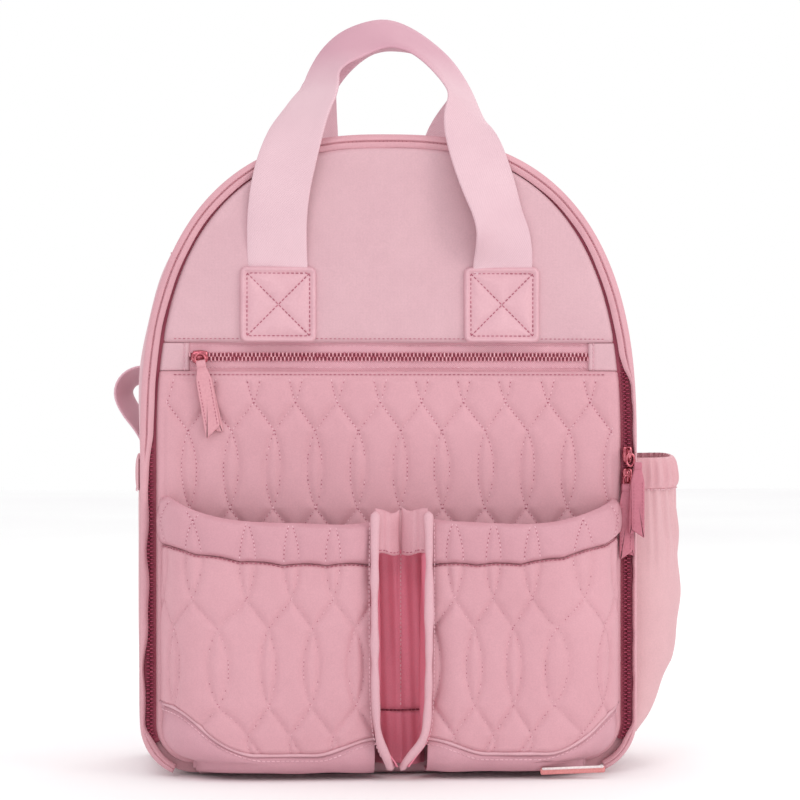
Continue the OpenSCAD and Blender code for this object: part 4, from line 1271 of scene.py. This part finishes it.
def slider(name, body, centre, along, across, length=10.5, width=8.0, rise=4.2):
    """A zip slider: front and back plates, a nose between them and a rounded bail over the front."""
    c, u, w = (np.asarray(v, float) for v in (centre, along, across))
    out = np.array([0, -1.0, 0])
    shape = rounded([[-length / 2, -width * 0.36], [length * 0.2, -width / 2], [length / 2, -width * 0.42],
                     [length / 2, width * 0.42], [length * 0.2, width / 2], [-length / 2, width * 0.36]], 2.0, 0.6)
    parts = [plate(shape, [(0.3, 0), (0, 0.3), (0, 1.0), (0.5, 1.5), (1.4, 1.75)], c + out * 2.0, (u, w, out)),
             plate(shape * [1, 0.8], [(0.2, 0), (0, 0.2), (0, 0.6), (0.3, 0.8)], c - out * 3.4, (u, w, out))]
    for sign in (1, -1):
        edge = np.stack([c + u * k + w * sign * (width / 2 - 0.6 - 0.12 * abs(k)) + out * 1.6
                         for k in np.linspace(-length * 0.4, length * 0.42, 12)])
        parts.append(tube(edge, 0.75, (0, 0, 1.0) if abs(u[2]) < 0.5 else (1.0, 0, 0), 8))
    a = np.linspace(0, math.pi, 22)
    bail = np.stack([c + u * (-math.cos(k) * length * 0.36) + out * (3.4 + rise * math.sin(k) ** 0.7) for k in a])
    parts.append(sweep(bail, *carried(bail, w), circle(1.0, 12) * [1.25, 0.7]))
    return piece(name, join(parts), body, METAL, "zip_metal")


def leather_pull(name, body, top, axes, width, length, node, leather_look, flip=1, shift=0.0):
    """A leather strip folded double over a metal loop: two slanted tips, sewn edges."""
    x, z, out = (np.asarray(v, float) for v in axes)
    w = width / 2
    parts = []
    # each layer: shift sideways and up at the tip, slant of the tip, place behind the front layer
    for dx, dz, slant, back in ((0.0, 0.0, 0.75, 0.0), (-1.6 * flip, 2.0, -0.55, -PULL_T - 0.25)):
        low, slant = -length + dz, -slant if flip > 0 else slant
        shape = rounded([[-w, low + max(-slant, 0) * width * 0.9], [w, low + max(slant, 0) * width * 0.9],
                         [w, -13], [w * 0.55, -4.5], [-w * 0.55, -4.5], [-w, -13]], 1.3, 0.7)
        shape = shape + [shift, 0] + np.stack([dx * smooth(-shape[:, 1] / length), shape[:, 0] * 0], 1)
        parts.append(plate(shape, soft_heights(PULL_T, 0.7), top + out * (back - PULL_T / 2 + 0.9), (x, z, out)))
    fold = np.stack([top + z * (-3.2 + 2.4 * math.cos(k)) + out * (1.9 * math.sin(k)) for k in turn(24)]) + x * shift
    parts.append(sweep(fold, alike(x, 24), unit(fold - fold.mean(0)), band_profile(w * 1.2, 1.1), closed=True))
    piece(name, join(parts), body, leather_look, "leather_trim", node)
    edge = []
    for sx in (-1, 1):
        zz = np.linspace(-14, -length + width * 0.9, 40)
        pts = top + x * (shift + sx * (w - 1.5)) + z * zz[:, None] + out * (PULL_T / 2 + 0.85)
        edge.append((pts, alike(out, 40)))
    sewn(name + "_stitches", edge, body, DARK_THREAD_AND_HOLE_SHADE, 2.2, 1.5, 0.22, "leather_trim")


slider("front_zip_slider_body", "front_zip_slider_body", (SLIDER_X, TAPE_Y - 0.4, ZIP_Z), (1, 0, 0), (0, 0, 1))
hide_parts("front_zip_slider")
ring_c = np.array([SLIDER_X, FRONT - 5.2, ZIP_Z])
tilt = math.radians(10.0)
px, pz = np.array([math.cos(tilt), 0, math.sin(tilt)]), np.array([-math.sin(tilt), 0, math.cos(tilt)])
hang = ring_c - pz * 2.0 + [0, -1.2, 0]
link = np.stack([ring_c - pz * (1.6 + 3.4 * math.cos(k)) + px * (3.2 * math.sin(k)) + [0, -0.6, 0] for k in turn(28)])
piece("front_zip_pull_ring", tube(link, 0.85, closed=True), "front_zip_pull_body", METAL, "zip_metal")
leather_pull("front_zip_pull_leather", "front_zip_pull_body", hang, (px, pz, FORWARD), 10.0, 50.0,
             "front_zip_pull", LEATHER, flip=-1)

MAIN_X = span("upper_main_slider")[0][0] + 3.6
MAIN_PULL_SHIFT = {1: 5.2, -1: -1.6}    # the two pulls hang side by side
for word, side in (("upper", 1), ("lower", -1)):
    lo, hi = span(f"{word}_main_slider")
    zc = (lo[2] + hi[2]) / 2
    pin_y = lo[1] + 2.0
    slider(f"{word}_main_slider_body", f"{word}_main_slider_body", (MAIN_X, TAPE_Y - 0.4, zc), (0, 0, 1), (1, 0, 0),
           11.0, 6.4, FRONT - 3.4 - pin_y + 2.6)
    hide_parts(f"{word}_main_slider")
    loop_c = np.array([MAIN_X, pin_y, zc])
    link = np.stack([loop_c + [side * 0.5 + 2.5 * math.sin(k), 0.0, -3.0 - 4.0 * math.cos(k)] for k in turn(28)])
    piece(f"{word}_main_pull_ring", tube(link, 0.8, closed=True), f"{word}_main_pull_body", METAL, "zip_metal")
    # the main pulls' darker leather is painted shade
    leather_pull(f"{word}_main_pull_leather", f"{word}_main_pull_body", loop_c - [0, 0.0, 4.0],
                 FRONT_AXES, 8.4, 49.0, f"{word}_main_pull", SHADED_PULL_LEATHER, flip=side, shift=MAIN_PULL_SHIFT[side])

# ---------------------------------------------------------------- leather patches and label

SEW_IN = 4.2                   # how far inside a patch's edge it is sewn
PATCH_CORNER = 4.2


def patch(name, body, centre, half, surface, out, node, puff_h=1.9):
    """A sewn leather square: raised rim, dotted square and cross."""
    v = np.linspace(-1, 1, 74)
    v = (np.sin(v * math.pi / 2 * 0.8) / math.sin(math.pi / 2 * 0.8)) * 0.5 + v * 0.5
    r = PATCH_CORNER
    dz = np.maximum(np.abs(v) * half - (half - r), 0)
    wide = half - r + np.sqrt(np.maximum(r * r - dz * dz, 0.0)) * 0.999 + 0.001
    a = v[:, None] * wide[None]
    b = np.repeat((v * half)[None], len(v), 0)
    edge_x, edge_z = wide[None] - np.abs(a), half - np.abs(b)
    edge = np.minimum(edge_x, edge_z)
    corner = np.maximum(np.abs(a) - (half - r), 0), np.maximum(np.abs(b) - (half - r), 0)
    edge = np.where((corner[0] > 0) & (corner[1] > 0), r - np.hypot(*corner), edge)
    square = np.abs(np.maximum(np.abs(a), np.abs(b)) - (half - SEW_IN))
    cross = np.where(np.maximum(np.abs(a), np.abs(b)) < half - SEW_IN, np.abs(np.abs(a) - np.abs(b)) / 1.414, 9)
    lines = np.minimum(square, cross)
    h = 1.7 + puff_h * (1 - np.exp(-(lines / 3.4) ** 1.3)) + 0.8 * np.exp(-((edge - 2.0) / 1.5) ** 2)
    h = h - roll(edge, 2.2) * 0.95 + 0.2 * wobble(a, b, 97, 4, 0.02, 0.06)
    h = np.maximum(h, 0.25)
    x, z = centre[0] + a, centre[2] + b
    y0 = surface(x, z)
    height_piece(name, x, z, y0 + out * h, y0 - out * 0.4, body, PATCH_LEATHER, "leather_trim", node)
    q = half - SEW_IN
    box = rounded([[-q, -q], [q, -q], [q, q], [-q, q]], 1.2, 0.7)
    box = np.concatenate([box, box[:1]])
    runs = [box] + [np.linspace([-q + 0.8, s * (-q + 0.8)], [q - 0.8, s * (q - 0.8)], 50) for s in (1, -1)]
    threads = []
    for line in runs:
        px, pz = centre[0] + line[:, 0], centre[2] + line[:, 1]
        threads.append((xyz(px, surface(px, pz) + out * 1.75, pz), alike((0, out, 0), len(line))))
    sewn(name + "_stitches", threads, body, DARK_THREAD_AND_HOLE_SHADE, 2.9, 2.0, 0.34, "leather_trim", 0.1)


for word, side in (("left", -1), ("right", 1)):
    for node, body, surface, out in ((f"front_patch_{word}", "front_panel", panel_y, -1),
                                     (f"rear_patch_{word}", "bag_body", level(back_hi[1]), 1)):
        lo, hi = span(node)
        patch(node + "_leather", body, (lo + hi) / 2, (hi[0] - lo[0]) / 2, surface, out, node)

lo, hi = span("label_tag")
mid = (lo + hi) / 2
LABEL_RISE = 0.03              # it climbs a little to the right
label_axes = unit(np.array([1.0, 0, LABEL_RISE])), unit(np.array([-LABEL_RISE, 0, 1.0])), FORWARD
# the leather strip and a pale strip on it that paints a highlight: half length, lower and upper edge, corner,
# thickness, forward by
for name, half, low, high, corner, heights, ahead, look, *node in (
        ("label_tag_leather", 20.5, -2.0, 2.1, 1.0, soft_heights(2.0, 0.7), 0.4, LABEL, "label_tag"),
        ("label_tag_edge", 19.6, 1.0, 2.6, 0.7, soft_heights(1.0, 0.4), 1.9, LABEL_HIGHLIGHT)):
    shape = rounded([[-half, low], [half, low], [half, high], [-half, high]], corner, 0.8)
    piece(name, plate(shape, heights, (mid[0], mid[1] - ahead, mid[2]), label_axes), "front_panel", look,
          "leather_trim", *node)

# ---------------------------------------------------------------- tote handles

def two_edge_strap(edges, step=3.0):
    """Path, side and out vectors of a strap from pairs of points on its two edges."""
    e = smooth_path(edges, step, 3)
    mid = (e[:, :3] + e[:, 3:]) / 2
    side = unit(e[:, 3:] - e[:, :3])
    path, side = resample(mid, step, None, side)
    t = tangents(path)
    side = unit(side - np.einsum("ij,ij->i", side, t)[:, None] * t)
    return path, side, np.cross(t, side)


def webbing(course, width, thick):
    """Webbing along a course of (path, side, out), with a slight ripple and cupping."""
    path, side, out = course
    s = lengths(path)
    base = band_profile(width, thick, thick * 0.45)
    ripple = 0.35 * wobble(s, s * 0, 111, 5, 0.01, 0.03)
    cup = 0.0012 * (base[:, 0] ** 2) * 0.35
    bend = ripple[:, None] * (base[None, :, 0] / width * 2) + cup
    return sweep(path, side, out, base[None] + np.stack([np.zeros_like(bend), bend], -1))


HANDLE_W, HANDLE_T = 38.0, 2.3
TAIL_W, TAIL_T = 24.0, 1.9
foot_y = FRONT - 1.6
# Up the left side, over and down the right side, in the front view: outer edge x, z, inner edge x, z, how
# far the middle stands behind the foot, and how much further back the outer edge is than the inner one.
FRONT_EDGES = [
    [-90, 303, -52, 303, 0, 0], [-90.5, 322, -52, 322, -0.4, 0], [-90.5, 340, -53.5, 338, -3, 4],
    [-90, 357, -53.5, 354, -4, 5], [-87.5, 381, -50.5, 374, -4.5, 5], [-78.5, 407, -45, 399, -1, 15],
    [-67, 422.5, -40, 419, 5, 27], [-55.5, 438, -35.5, 430, 11, 32], [-48.5, 451, -37, 440, 15, 34],
    [-39, 464, -31, 449, 17, 34], [-25.5, 475.5, -20, 454, 18, 32], [-9, 480.5, -6, 461, 19, 33],
    [3.5, 479, 4, 462, 19, 35], [20, 470.5, 15, 458.5, 19, 36], [36.5, 457.5, 27, 448.5, 17, 36],
    [46.5, 443, 38.6, 434.5, 14, 36], [54.6, 429, 41.2, 424.5, 9, 34], [63.5, 415.5, 34.5, 412.5, 3, 23],
    [72.5, 399.5, 36.5, 397, -4, 12],
    [79.5, 381, 44, 374, -9, 15], [85, 356, 55, 352, -12.5, 20], [91, 337, 54.5, 336, -7, 10],
    [91, 321, 52.5, 321, -0.6, 0], [90.5, 303, 52.5, 303, 0, 0],
]


def seen(x, z, y):
    """The place, at depth y, of what the main view shows at (x, z) on the front panel."""
    away = y - FRONT
    scale = VIEW_AWAY / (VIEW_AWAY + away)
    return xyz(VIEW_X + (x - VIEW_X) / scale - math.tan(VIEW_TURN) * away, y, VIEW_Z + (z - VIEW_Z) / scale)


def seen_edges(rows, foot):
    """Rows of outer x, z, inner x, z, depth and lean made into pairs of points in space."""
    r = np.array(rows, float)
    return np.concatenate([seen(r[:, 0], r[:, 1], foot + r[:, 4] + r[:, 5] / 2),
                           seen(r[:, 2], r[:, 3], foot + r[:, 4] - r[:, 5] / 2)], 1)


strap = two_edge_strap(seen_edges(FRONT_EDGES, foot_y))
front_handle = piece("front_handle_webbing", webbing(strap, HANDLE_W, HANDLE_T), None, WEBBING, "webbing",
                     "front_handle")
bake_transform(front_handle)

rear_foot = back_hi[1] + 1.6
# up the left side, over and down the right side: outer edge x, y, z, inner edge x, y, z
REAR_EDGES = [
    [-66, rear_foot - 1.4, 368, -28, rear_foot - 1.4, 368], [-66, rear_foot - 1.2, 383, -28, rear_foot - 1.2, 383],
    [-66, rear_foot + 2.0, 398, -28.5, rear_foot + 2.2, 400], [-63, rear_foot - 2, 411, -26, rear_foot + 3, 413],
    [-60, rear_foot - 16, 428, -27.5, rear_foot + 3, 430.5], [-52, rear_foot - 29, 448, -29.4, rear_foot, 447.5],
    [-42, rear_foot - 32, 461, -20, rear_foot - 2, 460], [-24, rear_foot - 36, 471, -9, rear_foot - 3, 469.5],
    [2, rear_foot - 38, 477, 1, rear_foot - 3, 476], [19, rear_foot - 39, 478, 17, rear_foot - 3, 476],
    [32, rear_foot - 39, 474, 31, rear_foot - 3, 472.5], [43, rear_foot - 38, 465, 44.5, rear_foot - 2, 462],
    [55, rear_foot - 35, 453, 52, rear_foot, 450.5], [64, rear_foot - 31, 440, 52, rear_foot + 2, 439],
    [67, rear_foot - 22, 427, 43.5, rear_foot + 3, 427], [66.5, rear_foot - 9, 411, 34, rear_foot + 2.5, 412],
    [66, rear_foot + 1.4, 397, 29.5, rear_foot + 2.2, 398], [66, rear_foot - 1.2, 383, 28, rear_foot - 1.2, 383],
    [66, rear_foot - 1.4, 368, 28, rear_foot - 1.4, 368],
]
strap = two_edge_strap(REAR_EDGES)
rear_handle = piece("rear_handle_webbing", webbing(strap, HANDLE_W, HANDLE_T), None, WEBBING, "webbing",
                    "rear_handle")
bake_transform(rear_handle)

# ---------------------------------------------------------------- side pockets

pocket_lo, pocket_hi = span("side_pocket_right")
elastic_hi = span("pocket_elastic_right")[1]
flat_lo, flat_hi = span("side_pocket_left")
POCKET_BULGE = 4.2             # how much fuller a filled pocket is at mid height


def pocket_arch(u):
    """A side pocket's plan section: how far it stands out at u, from one edge (-1) to the other (1)."""
    return np.maximum(1 - np.abs(u) ** 2.6, 0) ** (1 / 2.2)


def pocket_normals(u):
    return unit(xyz(pocket_arch(u) + 0.25, u * 0.9, 0.0))


def side_pocket(word, side, out_low, out_high, half_low, half_high, z0, z1):
    """A gathered side pocket: stand-off from the side at the foot and mouth, half depth, from z0 to z1."""
    filled = out_high > 8
    # places round the pocket's wall at equal distances, so the gathers are even
    dense = np.linspace(-1, 1, 1500)
    walk = lengths(np.stack([out_high * pocket_arch(dense), dense * half_high], 1))
    q = np.linspace(0, 1, 170)
    u = np.interp(q * walk[-1], walk, dense)
    ruffle = (0.9 * np.sin(q * 96 + 2 * np.sin(q * 9)) + 0.5 * np.sin(q * 171 + 1))[:, None]
    v = np.linspace(0, 1, 70)
    z = z0 + (z1 - z0) * v
    U, Z = lattice(u, z)
    V = np.broadcast_to(v[None], U.shape)
    stand = out_low + (out_high - out_low) * smooth(V / 0.55) + POCKET_BULGE * np.sin(math.pi * V ** 1.2) * filled
    stand = stand * np.sqrt(np.clip((V + 0.02) / 0.3, 0, 1)) ** 0.9
    arch = pocket_arch(U)
    half = half_low + (half_high - half_low) * V
    gather = smooth((V - 0.55) / 0.45)
    pleats = gather * ruffle * (1 - U ** 30)
    creases = 0.9 * wobble(U * 60, Z, 131 + side, 7, 0.006, 0.03) * arch
    wall = HALF + SIDE_D + 0.6
    x = wall + stand * arch + creases * min(1.0, out_high / 6)
    low = half_width(Z, SIDE_D) - (HALF + SIDE_D)
    x = np.maximum(x + low * 0.6, wall - 0.5 + low)
    y = U * half * (1 - 0.02 * arch)
    n = pocket_normals(U)
    outer = xyz(x, y, Z) + n * (pleats * filled)[..., None]
    flip = [side, 1, 1]
    piece(f"side_pocket_{word}_cloth", shell(outer * flip, (outer - n * 1.5) * flip), "bag_body", SIDE_CLOTH,
          "shell_fabric", f"side_pocket_{word}")
    # gathered casing
    vv = (1 - np.cos(np.linspace(0, math.pi, 26))) / 2
    ez0, ez1 = z1 - 0.5, elastic_hi[2] - 0.2
    U, W = lattice(u, vv)
    arch = pocket_arch(U)
    plump = 1.25 * (1 - np.abs(2 * W - 1) ** 2.4) ** 0.5
    pinch = 1.3 * ruffle
    stand = out_high - 1.6 * smooth(W / 0.8) * filled
    x = wall + stand * arch + 0.8
    z = ez0 + (ez1 - ez0) * W + 1.0 * np.sin(U * 2.2 + 0.6)
    y = U * half_high * (1 - 0.02 * arch)
    n = pocket_normals(U)
    rise = (1.0 if filled else 0.35) * (2.0 * plump + 0.75 * pinch * plump) * (1 - U ** 30 * 0.7)
    outer = xyz(x, y, z) + n * rise[..., None]
    inner = outer - n * (1.0 + 2.4 * plump)[..., None]
    piece(f"pocket_elastic_{word}_gathered", shell(outer * flip, inner * flip), "bag_body", ELASTIC, "edge_fabric",
          f"pocket_elastic_{word}")
    seam = outer[3:-3, 3] + [0.2, 0, -1.2]
    sewn(f"pocket_elastic_{word}_stitches", [(seam * flip, alike((side, 0, 0), len(seam)))], "bag_body", THREAD,
         2.9, 2.0, 0.3, "edge_fabric")


side_pocket("right", 1, 25.0, elastic_hi[0] - HALF - SIDE_D - 1.2, 50.0, 49.0, pocket_lo[2], pocket_hi[2])
side_pocket("left", -1, 0.8, 1.2, 50.0, 49.5, flat_lo[2], flat_hi[2])

# ---------------------------------------------------------------- shoulder straps

STRAP_Y = back_hi[1]
FRAME_OUT = 3.0                # an adjuster's frame and its bar stand this far either side of the webbing
pad_lo, pad_hi = span("shoulder_pad_right")
anchor_lo, anchor_hi = span("strap_anchor_right")
yoke_lo, yoke_hi = span("strap_yoke")

x, v = lattice(np.linspace(yoke_lo[0], yoke_hi[0], 150), np.linspace(0, 1, 22))
yoke_h = yoke_hi[2] - yoke_lo[2]
end = np.minimum(x - yoke_lo[0], yoke_hi[0] - x)
h = 3.2 - roll(np.minimum(end, yoke_h * np.minimum(v, 1 - v)), 2.2) - 0.5 * np.exp(-((v - 0.5) / 0.07) ** 2)
height_piece("strap_yoke_cloth", x, yoke_lo[2] + yoke_h * v, STRAP_Y + h, STRAP_Y - 0.4, "bag_body", SHELL,
             "shell_fabric", "strap_yoke")
line_x = np.linspace(yoke_lo[0] + 4, yoke_hi[0] - 4, 200)
for k, zz in enumerate((yoke_lo[2] + 3.2, yoke_hi[2] - 3.2)):
    sewn(f"strap_yoke_stitches_{k}", [(xyz(line_x, STRAP_Y + 3.0, zz), alike((0, 1, 0), 200))], "bag_body", THREAD,
         *SEAM, "shell_fabric")

for side, word in ((1, "right"), (-1, "left")):
    # padded strap from the yoke down and outwards
    top_x, low_x = 58.0, 104.0
    v = np.linspace(0, 1, 90)
    cx = top_x + (low_x - top_x) * smooth(v * 0.9 + 0.05) ** 1.2
    cz = pad_hi[2] - (pad_hi[2] - pad_lo[2]) * v
    centre = xyz(cx * side, STRAP_Y + 5.0, cz)
    t = tangents(centre)
    width = 46.0 - 16.0 * smooth((v - 0.55) / 0.45)
    out = alike((0, 1, 0), 90)
    across = np.cross(out, t) * side
    u = np.sin(np.linspace(-1, 1, 40) * math.pi / 2)
    crown = (1 - np.abs(u) ** 4) ** 0.5
    line = 1.0 * np.exp(-((np.abs(u) - 0.82) / 0.05) ** 2)
    end_ease = np.sqrt(np.clip(np.minimum(v, 1 - v) * 150 / 5.0, 0.05, 1))
    face = (4.4 * crown - line)[None] * end_ease[:, None]
    grid = centre[:, None] + across[:, None] * (u[None, :, None] * width[:, None, None] / 2)
    outer = grid + out[:, None] * face[..., None]
    inner = grid - out[:, None] * (3.8 * crown[None] * end_ease[:, None])[..., None]
    pad = piece(f"shoulder_pad_{word}_padded", shell(outer, inner), "bag_body", SHELL, "shell_fabric",
                f"shoulder_pad_{word}")
    threads = []
    for sign in (-1, 1):
        p = grid[3:-3, 20] + across[3:-3] * (sign * width[3:-3] / 2 * 0.82)[:, None] + out[3:-3] * 3.0
        threads.append((p, out[3:-3]))
    sewn(f"shoulder_pad_{word}_stitches", threads, "bag_body", THREAD, *SEAM, "shell_fabric", 0.4)
    # webbing tail from the pad's end, through the adjuster to the anchor; the left one has a slack loop
    if side > 0:
        route = [[104, 166], [108, 154], [117, 144], [126, 136], [130, 126], [130, 46]]
    else:
        route = [[104, 166], [108, 157], [115, 153], [123, 156], [127, 166], [131, 190], [136, 220], [142, 243],
                 [150, 254], [160, 256], [169, 252], [173, 243], [168, 232], [158, 219], [149, 200], [143, 175],
                 [136, 148], [130, 128], [130, 46]]
    flat_path = smooth_path(route, 2.5)
    y_mid = (STRAP_Y + 3.0 + anchor_hi[1]) / 2
    p = xyz(flat_path[:, 0] * side, y_mid, flat_path[:, 1])
    s = lengths(p)
    p[:, 1] += 2.2 * np.sin(s / s[-1] * math.pi * 2.2) * smooth((s[-1] - s) / 60) * smooth(s / 20)
    t = tangents(p)
    sv = unit(np.array([0, 1.0, 0]) - t * t[:, 1:2])
    lean = 0.55 * (side < 0) * (smooth((s - 40) / 50) * smooth((s[-1] - s) / 90))[:, None]
    ov = np.cross(t, sv)
    sv = unit(sv + ov * lean)
    ov = np.cross(t, sv)
    piece(f"shoulder_webbing_{word}_strap", webbing((p, sv, ov), TAIL_W, TAIL_T), "bag_body", STRAP_WEBBING,
          "webbing", f"shoulder_webbing_{word}")
    # anchor: folded leather round the webbing's end
    ax = side * (anchor_lo[0] + anchor_hi[0]) / 2
    shape = rounded([[STRAP_Y + 0.2, anchor_lo[2]], [anchor_hi[1], anchor_lo[2] + 4], [anchor_hi[1], anchor_hi[2] - 2],
                     [STRAP_Y + 0.2, anchor_hi[2]]], 3.0, 0.8)
    parts = [plate(shape, soft_heights(2.0, 0.6), (ax + s_x * 1.1, 0, 0), ((0, 1, 0), (0, 0, 1), (s_x, 0, 0)))
             for s_x in (-1, 1)]
    piece(f"strap_anchor_{word}_leather", join(parts), "bag_body", LEATHER, "leather_trim", f"strap_anchor_{word}")
    box = rounded([[STRAP_Y + 6, anchor_lo[2] + 4], [anchor_hi[1] - 4, anchor_lo[2] + 6],
                   [anchor_hi[1] - 4, anchor_hi[2] - 5], [STRAP_Y + 6, anchor_hi[2] - 4]], 1.0, 0.7)
    box = np.concatenate([box, box[:1]])
    p = xyz(ax + side * 3.1, box[:, 0], box[:, 1])
    sewn(f"strap_anchor_{word}_stitches", [(p, alike((side, 0, 0), len(box)))], "bag_body", DARK_THREAD_AND_HOLE_SHADE,
         2.6, 1.8, 0.28, "leather_trim", 0.05)
    # adjuster: rounded frame with a middle bar, standing across the webbing
    lo, hi = span(f"strap_adjuster_{word}")
    c = (lo + hi) / 2
    fy, fz = (hi[1] - lo[1]) / 2 - 1.6, (hi[2] - lo[2]) / 2 - 1.6
    ring = rounded([[-fy, -fz], [fy, -fz], [fy, fz], [-fy, fz]], 3.0, 1.0)
    ring = xyz(c[0] + side * FRAME_OUT, c[1] + ring[:, 0], c[2] + ring[:, 1])
    bar = xyz(c[0] - side * FRAME_OUT, c[1] + np.linspace(-fy - 0.4, fy + 0.4, 12), c[2])
    arms = [tube(xyz(c[0] + side * np.linspace(FRAME_OUT, -FRAME_OUT, 8), c[1] + e * (fy + 0.2), c[2]), 1.25,
                 (0, 0, 1.0)) for e in (-1, 1)]
    piece(f"strap_adjuster_{word}_metal",
          join([tube(ring, 1.5, (1.0, 0, 0), 12, closed=True), tube(bar, 1.35, (0, 0, 1.0), 12)] + arms),
          f"strap_adjuster_{word}_body", METAL, "zip_metal", f"strap_adjuster_{word}")
    # ring tab and ring
    lo, hi = span(f"ring_tab_{word}")
    c = (lo + hi) / 2
    w = (hi[0] - lo[0]) / 2
    ring_lo, ring_hi = span(f"side_ring_{word}")
    pin = np.array([(ring_lo[0] + ring_hi[0]) / 2, (ring_lo[1] + ring_hi[1]) / 2, ring_hi[2] - 1.6])
    fold = smooth_path([[STRAP_Y + 0.9, hi[2]], [STRAP_Y + 1.4, hi[2] - 8], [STRAP_Y + 3.0, pin[2] + 5.0],
                        [pin[1] - 2.8, pin[2] + 1.0], [pin[1] - 2.6, pin[2] - 2.4], [pin[1], pin[2] - 3.4],
                        [pin[1] + 2.7, pin[2] - 1.6], [pin[1] + 2.7, pin[2] + 1.6], [STRAP_Y + 5.2, pin[2] + 6.0],
                        [STRAP_Y + 3.0, hi[2] - 6], [STRAP_Y + 2.4, hi[2]]], 0.8)
    q = xyz(pin[0], fold[:, 0], fold[:, 1])
    sv = alike((1, 0, 0), len(q))
    piece(f"ring_tab_{word}_leather", sweep(q, sv, np.cross(tangents(q), sv), band_profile(2 * w - 0.6, 1.2)),
          "bag_body", LEATHER, "leather_trim", f"ring_tab_{word}")
    half = (ring_hi[0] - ring_lo[0]) / 2 - 1.6
    drop = ring_hi[2] - ring_lo[2] - 3.2
    a = np.linspace(0, math.pi, 26)
    d_ring = np.concatenate([np.stack([half * np.cos(a), -4 - (drop - 4) * np.sin(a) ** 0.9], 1),
                             [[-half, -1.2], [-half + 1.4, 0]],
                             np.stack([np.linspace(-half + 3, half - 3, 14), np.zeros(14)], 1),
                             [[half - 1.4, 0], [half, -1.2]]])
    d_ring = resample(np.concatenate([d_ring, d_ring[:1]]), 1.2)[:-1]
    q = xyz(pin[0] + d_ring[:, 0], pin[1], pin[2] + d_ring[:, 1])
    piece(f"side_ring_{word}_metal", tube(q, 1.6, m=12, closed=True), f"side_ring_{word}_body", METAL, "zip_metal",
          f"side_ring_{word}")

# ---------------------------------------------------------------- camera, floor and light

scene = bpy.context.scene
scene.view_settings.view_transform = "Standard"

camera_data = bpy.data.cameras.new("camera")
camera_data.lens = LENS
camera_data.sensor_width = 36.0
camera_data.clip_end = 20
camera = bpy.data.objects.new("camera", camera_data)
scene.collection.objects.link(camera)
target = Vector((VIEW_X * MM, FRONT * MM, VIEW_Z * MM))
camera.location = target + VIEW_AWAY * MM * Vector((math.sin(VIEW_TURN), -math.cos(VIEW_TURN), 0.0))
camera.rotation_euler = (target - camera.location).to_track_quat("-Z", "Y").to_euler()
scene.camera = camera


def area(name, place, aim, size, power, colour):
    data = bpy.data.lights.new(name, "AREA")
    data.shape = "RECTANGLE"
    data.size, data.size_y = size
    data.energy = power
    data.color = colour
    lamp = bpy.data.objects.new(name, data)
    lamp.location = place
    lamp.rotation_euler = (Vector(aim) - Vector(place)).to_track_quat("-Z", "Y").to_euler()
    scene.collection.objects.link(lamp)


area("key_light", (-0.7, -1.9, 1.9), (0, 0, 0.25), (1.0, 1.0), 7, (0.94, 0.94, 1.0))
area("right_light", (1.7, -1.6, 1.0), (0, 0, 0.2), (0.8, 1.2), 11, (1.0, 0.93, 0.89))
area("back_light", (0.6, 2.0, 1.6), (0, 0, 0.25), (1.6, 1.2), 8, (1.0, 1.0, 1.0))

world = bpy.data.worlds.new("studio")
world.use_nodes = True
world.node_tree.nodes["Background"].inputs["Color"].default_value = (1.0, 1.0, 1.0, 1.0)
world.node_tree.nodes["Background"].inputs["Strength"].default_value = 1.0
scene.world = world

floor_mesh = bpy.data.meshes.new("floor")
floor_mesh.from_pydata([(-6, -6, 0), (6, -6, 0), (6, 6, 0), (-6, 6, 0)], [], [(0, 1, 2, 3)])
floor = bpy.data.objects.new("floor", floor_mesh)
scene.collection.objects.link(floor)
floor_look = Nodes("floor_paper", 0.9)
floor_look.colour(floor_look.ramp(floor_look.noise(900.0, 2.0), (0.3, lin(250, 249, 250)), (0.7, lin(254, 254, 254))))
floor_mesh.materials.append(floor_look.mat)

# ---------------------------------------------------------------- CAD nodes that stay, and the end

SLOT_LOOKS = {
    "shell_fabric": SHELL, "quilted_fabric": QUILT, "edge_fabric": EDGE, "pleat_fabric": PLEAT_CLOTH,
    "lining": LINING, "stiffener": BOARD, "zip_tape": TAPE, "zip_metal": METAL, "webbing": WEBBING,
    "leather_trim": LEATHER,
}
slots = {s["node"]: s["material_slot"] for s in frame["record"]["subparts"]}
for node, obj in frame["nodes"].items():
    for k in range(len(obj.material_slots)):
        obj.material_slots[k].material = SLOT_LOOKS[slots[node]]
